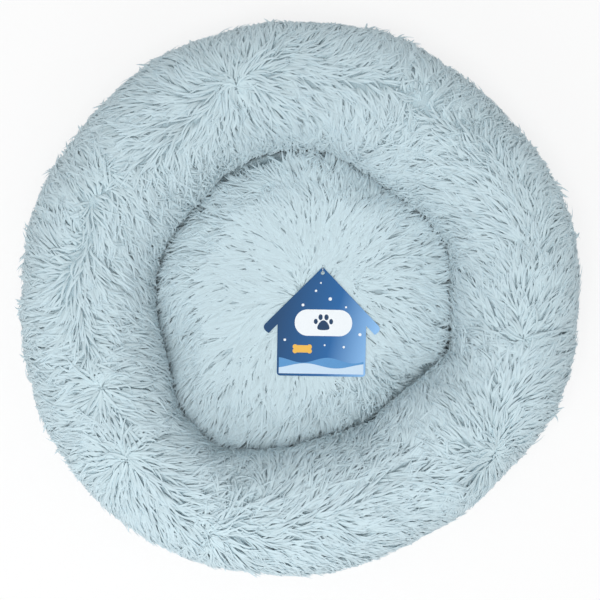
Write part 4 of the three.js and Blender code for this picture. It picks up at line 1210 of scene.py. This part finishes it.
# Card
# A house-shaped swing card, die-cut from 0.8 mm white board, printed on the front and laminated matt.
# Its print is a plain pattern of this part's own: a plaque with a paw, a bone, dots and two waves.
CARD_WALL_WIDTH = 111
CARD_ROOF_SPAN = 149
CARD_HEIGHT = 137
CARD_EAVE_DROP = 76
CARD_EAVE_RADIUS = 4
CARD_CORNER_RADIUS = 5
CARD_THICKNESS = 0.8
CARD_HOLE_RADIUS = 2.4
CARD_HOLE_INSET = 7.6
CARD_FOOT = 75.6
CARD_APEX = (28, 39.5)
CARD_TURN = math.radians(-1)
INK_THICKNESS = 0.04
# Places on the print are from the card's apex
WAVE_HALF_WIDTH = 53
WAVE_FOOT = -134
PLAQUE = (2, -70)
PLAQUE_SIZE = (72, 33)
PLAQUE_CORNER = 16
PAW_PAD_SIZE = (7.6, 6.2)
PAW_PAD_DROP = 4.2
PAW_TOES = ((-9.6, 1.6, (2.5, 3.4)), (-3.7, 7.0, (2.7, 3.7)), (3.7, 7.0, (2.7, 3.7)), (9.6, 1.6, (2.5, 3.4)))
BONE = (-24, -103)
BONE_KNOB = (9, 2.6)
BONE_KNOB_RADIUS = 3.1
DOTS = ((-8, -30, 1.5), (10, -40, 2.1), (-24, -48, 1.8), (30, -50, 1.3), (-46, -92, 1.6), (48, -84, 2.0),
        (28, -100, 1.5), (4, -98, 1.2), (-2, -20, 1.1))
NAVY_COLOR = "#16446F"
BLUE_COLOR = "#1F63A1"
PALE_BLUE_COLOR = "#8FC0F0"
SHADE_SLANT = -0.25
SHADE_REACH = 24
BOARD_COLORS = ("#E6E8E8", "#F4F5F4")
# Each ink is a pair, where the board's mottle darkens it and as it is
WAVE_FAR_INK = ("#5490C6", "#5E9BD2")
WAVE_NEAR_INK = ("#C3DAEE", "#CFE3F4")
WHITE_INK = ("#E8EEF3", "#F3F7FA")
NAVY_INK = ("#17385A", "#1B3F63")
YELLOW_INK = ("#E9B44B", "#F2C15C")


def arc_points(middle, radius, start, end, steps):
    """Points along an arc in millimetres, between two angles in degrees; the radius may be a pair."""
    wide, high = radius if isinstance(radius, tuple) else (radius, radius)
    angles = np.radians(np.linspace(start, end, steps))
    return [(middle[0] + wide * math.cos(a), middle[1] + high * math.sin(a)) for a in angles]


def round_points(middle, radius, steps):
    return arc_points(middle, radius, 0, 360 - 360 / steps, steps)


def bent_points(start, pull, end, steps=6):
    """Points along a quadratic curve, without its start."""
    shares = np.linspace(0, 1, steps)[1:]
    return [tuple((1 - s) ** 2 * a + 2 * s * (1 - s) * b + s * s * c for a, b, c in zip(start, pull, end))
            for s in shares]


def card_outline():
    """The outline of the house, from its apex down the left side and back."""
    eave, wall, tip = CARD_ROOF_SPAN / 2, CARD_WALL_WIDTH / 2, CARD_EAVE_RADIUS
    slope = CARD_EAVE_DROP / eave
    tip_foot = -CARD_EAVE_DROP - tip * 2
    wall_head = tip_foot + (eave - tip * 2 - wall) * slope
    corner = CARD_CORNER_RADIUS
    tip_top = (-eave + tip, -CARD_EAVE_DROP + tip * slope)
    left = [tip_top]
    left += bent_points(tip_top, (-eave - tip / 2, -CARD_EAVE_DROP - tip / 2), (-eave + tip * 2, tip_foot))
    left += [(-wall, wall_head), (-wall, -CARD_HEIGHT + corner)]
    left += bent_points(left[-1], (-wall, -CARD_HEIGHT), (-wall + corner, -CARD_HEIGHT))
    return [(0, 0), *left, *[(-x, y) for x, y in reversed(left)]]


def bar_outline(middle, size, radius):
    """The outline of a bar with round corners."""
    x, y = size[0] / 2 - radius, size[1] / 2 - radius
    corners = ((x, y, 0), (-x, y, 90), (-x, -y, 180), (x, -y, 270))
    return [point for right, up, start in corners
            for point in arc_points((middle[0] + right, middle[1] + up), radius, start, start + 90, 9)]


def wave_band(high, swell, shift, span):
    """A band along the foot of the card whose top edge rolls up and down."""
    half = WAVE_HALF_WIDTH
    edge = [(x, high + swell * math.sin((x + shift) / span * 2 * math.pi))
            for x in np.linspace(-half, half, 40)]
    return [(half, WAVE_FOOT), *reversed(edge), (-half, WAVE_FOOT)]


def paw_outlines():
    """The pad of a paw, rounder above and drawn in below, and its four toes."""
    wide, high = PAW_PAD_SIZE
    pad = [(PLAQUE[0] + wide * math.cos(a) * (1 - 0.12 * math.sin(a)),
            PLAQUE[1] - PAW_PAD_DROP + high * math.sin(a) - 1.2 * math.cos(2 * a))
           for a in np.linspace(0, 2 * math.pi, 33)[:-1]]
    return [pad, *[round_points((PLAQUE[0] + x, PLAQUE[1] + y), size, 20) for x, y, size in PAW_TOES]]


def bone_outline():
    """A bone: two knobs at each end, each most of a circle."""
    x, y = BONE_KNOB
    knobs = ((x, y, -60), (-x, y, 40), (-x, -y, 120), (x, -y, 220))
    return [point for right, up, start in knobs for point in arc_points(
        (BONE[0] + right, BONE[1] + up), BONE_KNOB_RADIUS, start, start + 200, 10)]


def curve_mesh(name, lines, **settings):
    """The mesh of a curve through closed lines of points in millimetres, with the curve's settings."""
    curve = bpy.data.curves.new(name, "CURVE")
    for key, value in settings.items():
        setattr(curve, key, value)
    for line in lines:
        spline = curve.splines.new("POLY")
        spline.points.add(len(line) - 1)
        spline.use_cyclic_u = True
        for point, place in zip(spline.points, line):
            point.co = (*[v * MM for v in (*place, 0)[:3]], 1)
    drawn = new_object(name, curve)
    mesh = made_mesh(drawn)
    bpy.data.objects.remove(drawn)
    mesh.materials.clear()
    return mesh


def card_layer(name, outlines, foot, thickness, material):
    """A flat cut layer of the card; outlines after the first may be holes or shapes of their own."""
    mesh = curve_mesh(name, outlines, dimensions="2D", fill_mode="BOTH", extrude=thickness / 2 * MM)
    cos, sin = math.cos(CARD_TURN), math.sin(CARD_TURN)
    for vertex in mesh.vertices:
        x, y, z = vertex.co
        vertex.co = (x * cos - y * sin + CARD_APEX[0] * MM, x * sin + y * cos + CARD_APEX[1] * MM,
                     z + (foot + thickness / 2) * MM)
    merge_doubles(mesh, MERGE_GAP, turn_out=True)
    mesh.materials.append(material)
    return new_object(name, mesh)


def ink(name, colors):
    """Offset ink under matt film: even colour, a dull shine and a faint mottle of the board under it."""
    return speckled_material(name, *colors, {"Scale": 700, "Detail": 2}, roughness=0.55, strength=0.08,
                             distance=0.05, Specular_IOR_Level=0.25)[0]


# White board is smooth, with a faint fibre mottle and a matt cut edge.
white_board, *_ = speckled_material("bleached_board", *BOARD_COLORS, {"Scale": 800, "Detail": 4},
                                    roughness=0.6, strength=0.15, distance=0.05)

# The ground of the print shades from navy on the left to pale blue on the right, under the same film.
printed_blue, add, shader = new_material("offset_ink_blue", roughness=0.55, Specular_IOR_Level=0.25)
place = add("TexCoord", output="Object")
placed = add("Mapping", place, Location=(-CARD_APEX[0] * MM, -CARD_APEX[1] * MM, 0.0))
x, y, _ = add("SeparateXYZ", placed).node.outputs
share = add("MapRange", add("Math.MULTIPLY_ADD", y, SHADE_SLANT, x), -CARD_ROOF_SPAN / 2 * MM,
            (CARD_ROOF_SPAN / 2 + SHADE_REACH) * MM)
shades = add("ValToRGB", share)
shade_ramp(shades.node, ((0.18, NAVY_COLOR), (0.62, BLUE_COLOR), (0.95, PALE_BLUE_COLOR)))
feed(shader, "Base Color", shades)
film = add("TexNoise", place, Scale=60.0, Detail=2.0)
feed(shader, "Normal", add("Bump", Height=film, Strength=0.1, Distance=0.3 * MM))

house = [card_outline(), round_points((0, -CARD_HOLE_INSET), CARD_HOLE_RADIUS, 20)]
white_shapes = [bar_outline(PLAQUE, PLAQUE_SIZE, PLAQUE_CORNER),
                *[round_points((x, y), size, 16) for x, y, size in DOTS]]
print_foot = CARD_FOOT + CARD_THICKNESS
ink_foot = print_foot + INK_THICKNESS
for name, outlines, foot, material in (
        ("card_board", house, CARD_FOOT, white_board),
        ("card_ground", house, print_foot, printed_blue),
        ("card_wave_far", [wave_band(high=-117, swell=3.2, shift=8, span=64)], ink_foot,
         ink("offset_ink_mid_blue", WAVE_FAR_INK)),
        ("card_wave_near", [wave_band(high=-124, swell=3.0, shift=40, span=78)], ink_foot + INK_THICKNESS,
         ink("offset_ink_pale", WAVE_NEAR_INK)),
        ("card_plaque", white_shapes, ink_foot, ink("offset_ink_white", WHITE_INK)),
        ("card_paw", paw_outlines(), ink_foot + INK_THICKNESS, ink("offset_ink_navy", NAVY_INK)),
        ("card_bone", [bone_outline()], ink_foot, ink("offset_ink_yellow", YELLOW_INK))):
    thickness = CARD_THICKNESS if name == "card_board" else INK_THICKNESS
    piece = card_layer(name, outlines, foot, thickness, material)
    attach(piece, "card")
    if name == "card_board":
        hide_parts("tag_card")

# Loop pin
# A loop of clear nylon filament with a small lock head. It goes through the card's hole, round the
# edge of the card and down through the pile into the knit, where the head holds it.
LOOP_RADIUS = 4.75
LOOP_WIRE = 1.2
LOOP_DEPTH = 19
LOOP_HEAD = 3.2
LOOP_HEAD_EDGE = 0.2
LOOP_STEPS = 16
NYLON_COLORS = ("#EDF1F3", "#FFFFFF")

# Moulded clear nylon lets light through, with a milky cast.
clear_nylon, *_ = speckled_material(
    "clear_moulded_nylon", *NYLON_COLORS, {"Scale": 300, "Detail": 1}, roughness=0.18,
    Transmission_Weight=0.75, IOR=1.53)

card_middle = CARD_FOOT + CARD_THICKNESS / 2
pivot_drop = CARD_HOLE_INSET - LOOP_RADIUS
pivot = (CARD_APEX[0] + math.sin(CARD_TURN) * pivot_drop, CARD_APEX[1] - math.cos(CARD_TURN) * pivot_drop)
loop_path = [*arc_points((0, 0), LOOP_RADIUS, 0, 180, LOOP_STEPS),
             *arc_points((0, LOOP_RADIUS - LOOP_DEPTH), LOOP_RADIUS, 180, 360, LOOP_STEPS)]
loop_path = [(pivot[0] - math.sin(CARD_TURN) * across, pivot[1] + math.cos(CARD_TURN) * across,
              card_middle + up) for across, up in loop_path]
loop = new_object("filament_loop", curve_mesh("loop_path", [loop_path], dimensions="3D",
                                              bevel_depth=LOOP_WIRE / 2 * MM, bevel_resolution=3))
head = bmesh.new()
bmesh.ops.create_cube(head, size=LOOP_HEAD * MM)
bmesh.ops.bevel(head, geom=head.edges[:], offset=LOOP_HEAD * LOOP_HEAD_EDGE * MM, segments=2, affect="EDGES")
lock_head = new_object("lock_head", bpy.data.meshes.new("lock_head"))
head.to_mesh(lock_head.data)
head.free()
moved(lock_head.data, (*pivot, card_middle - LOOP_DEPTH - LOOP_WIRE / 2 + LOOP_HEAD / 2))
for piece in (loop, lock_head):
    piece.data.materials.append(clear_nylon)
    smooth_faces(piece.data)
    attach(piece, "loop")
    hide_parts("tag_loop")

# Floor and light
# A plain white studio floor, soft light from all round with more from above, a broad lamp nearly
# overhead and a soft panel on the near side. The floor glows white to the camera and in reflections.
FLOOR_HALF = 4
FLOOR_COLOR = (0.9, 0.9, 0.9, 1)
FLOOR_GLOW = 0.75
SIDE_LIGHT = 0.42
TOP_LIGHT = 0.54
TOP_LIGHT_RISE = (0.5, 0.8)
OVERHEAD_SHARE = 0.5
OVERHEAD_RISE = (0.95, 0.985)

floor = new_object("floor", bpy.data.meshes.new("floor"))
floor_level = -(DOT_HEIGHT + STITCH_RISE) * MM
floor.data.from_pydata([(x * FLOOR_HALF, y * FLOOR_HALF, floor_level)
                        for x, y in ((-1, -1), (1, -1), (1, 1), (-1, 1))], [], [(0, 1, 2, 3)])
paper, add, shader = new_material("white_paper", roughness=0.9, Base_Color=FLOOR_COLOR)
rays = add("LightPath").node.outputs
seen = add("Math.MAXIMUM", rays["Is Camera Ray"], rays["Is Glossy Ray"])
seen = add("Math.MAXIMUM", seen, rays["Is Transmission Ray"])
glow = add("Emission", (1, 1, 1, 1), 1.0)
mixed = add("MixShader", add("Math.MULTIPLY", seen, FLOOR_GLOW), shader.outputs[0], glow)
feed(paper.node_tree.nodes["Material Output"], "Surface", mixed)
floor.data.materials.append(paper)

world = bpy.data.worlds.new("studio")
world.use_nodes = True
scene.world = world
add = functools.partial(add_node, world.node_tree)
background = world.node_tree.nodes["Background"]
background.inputs["Color"].default_value = (1, 1, 1, 1)
level = add("SeparateXYZ", add("TexCoord", output="Generated")).node.outputs["Z"]
lamps = add("MapRange", level, *TOP_LIGHT_RISE, SIDE_LIGHT, TOP_LIGHT)
opening = add("MapRange", level, *OVERHEAD_RISE, 1.0, OVERHEAD_SHARE)
strength = add("Math.MULTIPLY", lamps, opening)
feed(background, "Strength", add("Mix", add("LightPath", output="Is Camera Ray"), strength, 1.0))


def new_lamp(name, kind, energy, place, turn, **settings):
    """A lamp in metres, tipped and turned by degrees."""
    data = bpy.data.lights.new(name, kind)
    data.energy = energy
    for key, value in settings.items():
        setattr(data, key, value)
    lamp = new_object(name, data)
    lamp.location = place
    lamp.rotation_euler = (math.radians(turn[0]), 0, math.radians(turn[1]))


new_lamp("near_lamp", "SUN", energy=1.45, place=(0, 0, 0), turn=(9, -28), angle=math.radians(30))
new_lamp("near_panel", "AREA", energy=5.5, place=(-0.4, -1.2, 1.1), turn=(52, -18), size=1.0)

scene.view_settings.view_transform = "Standard"
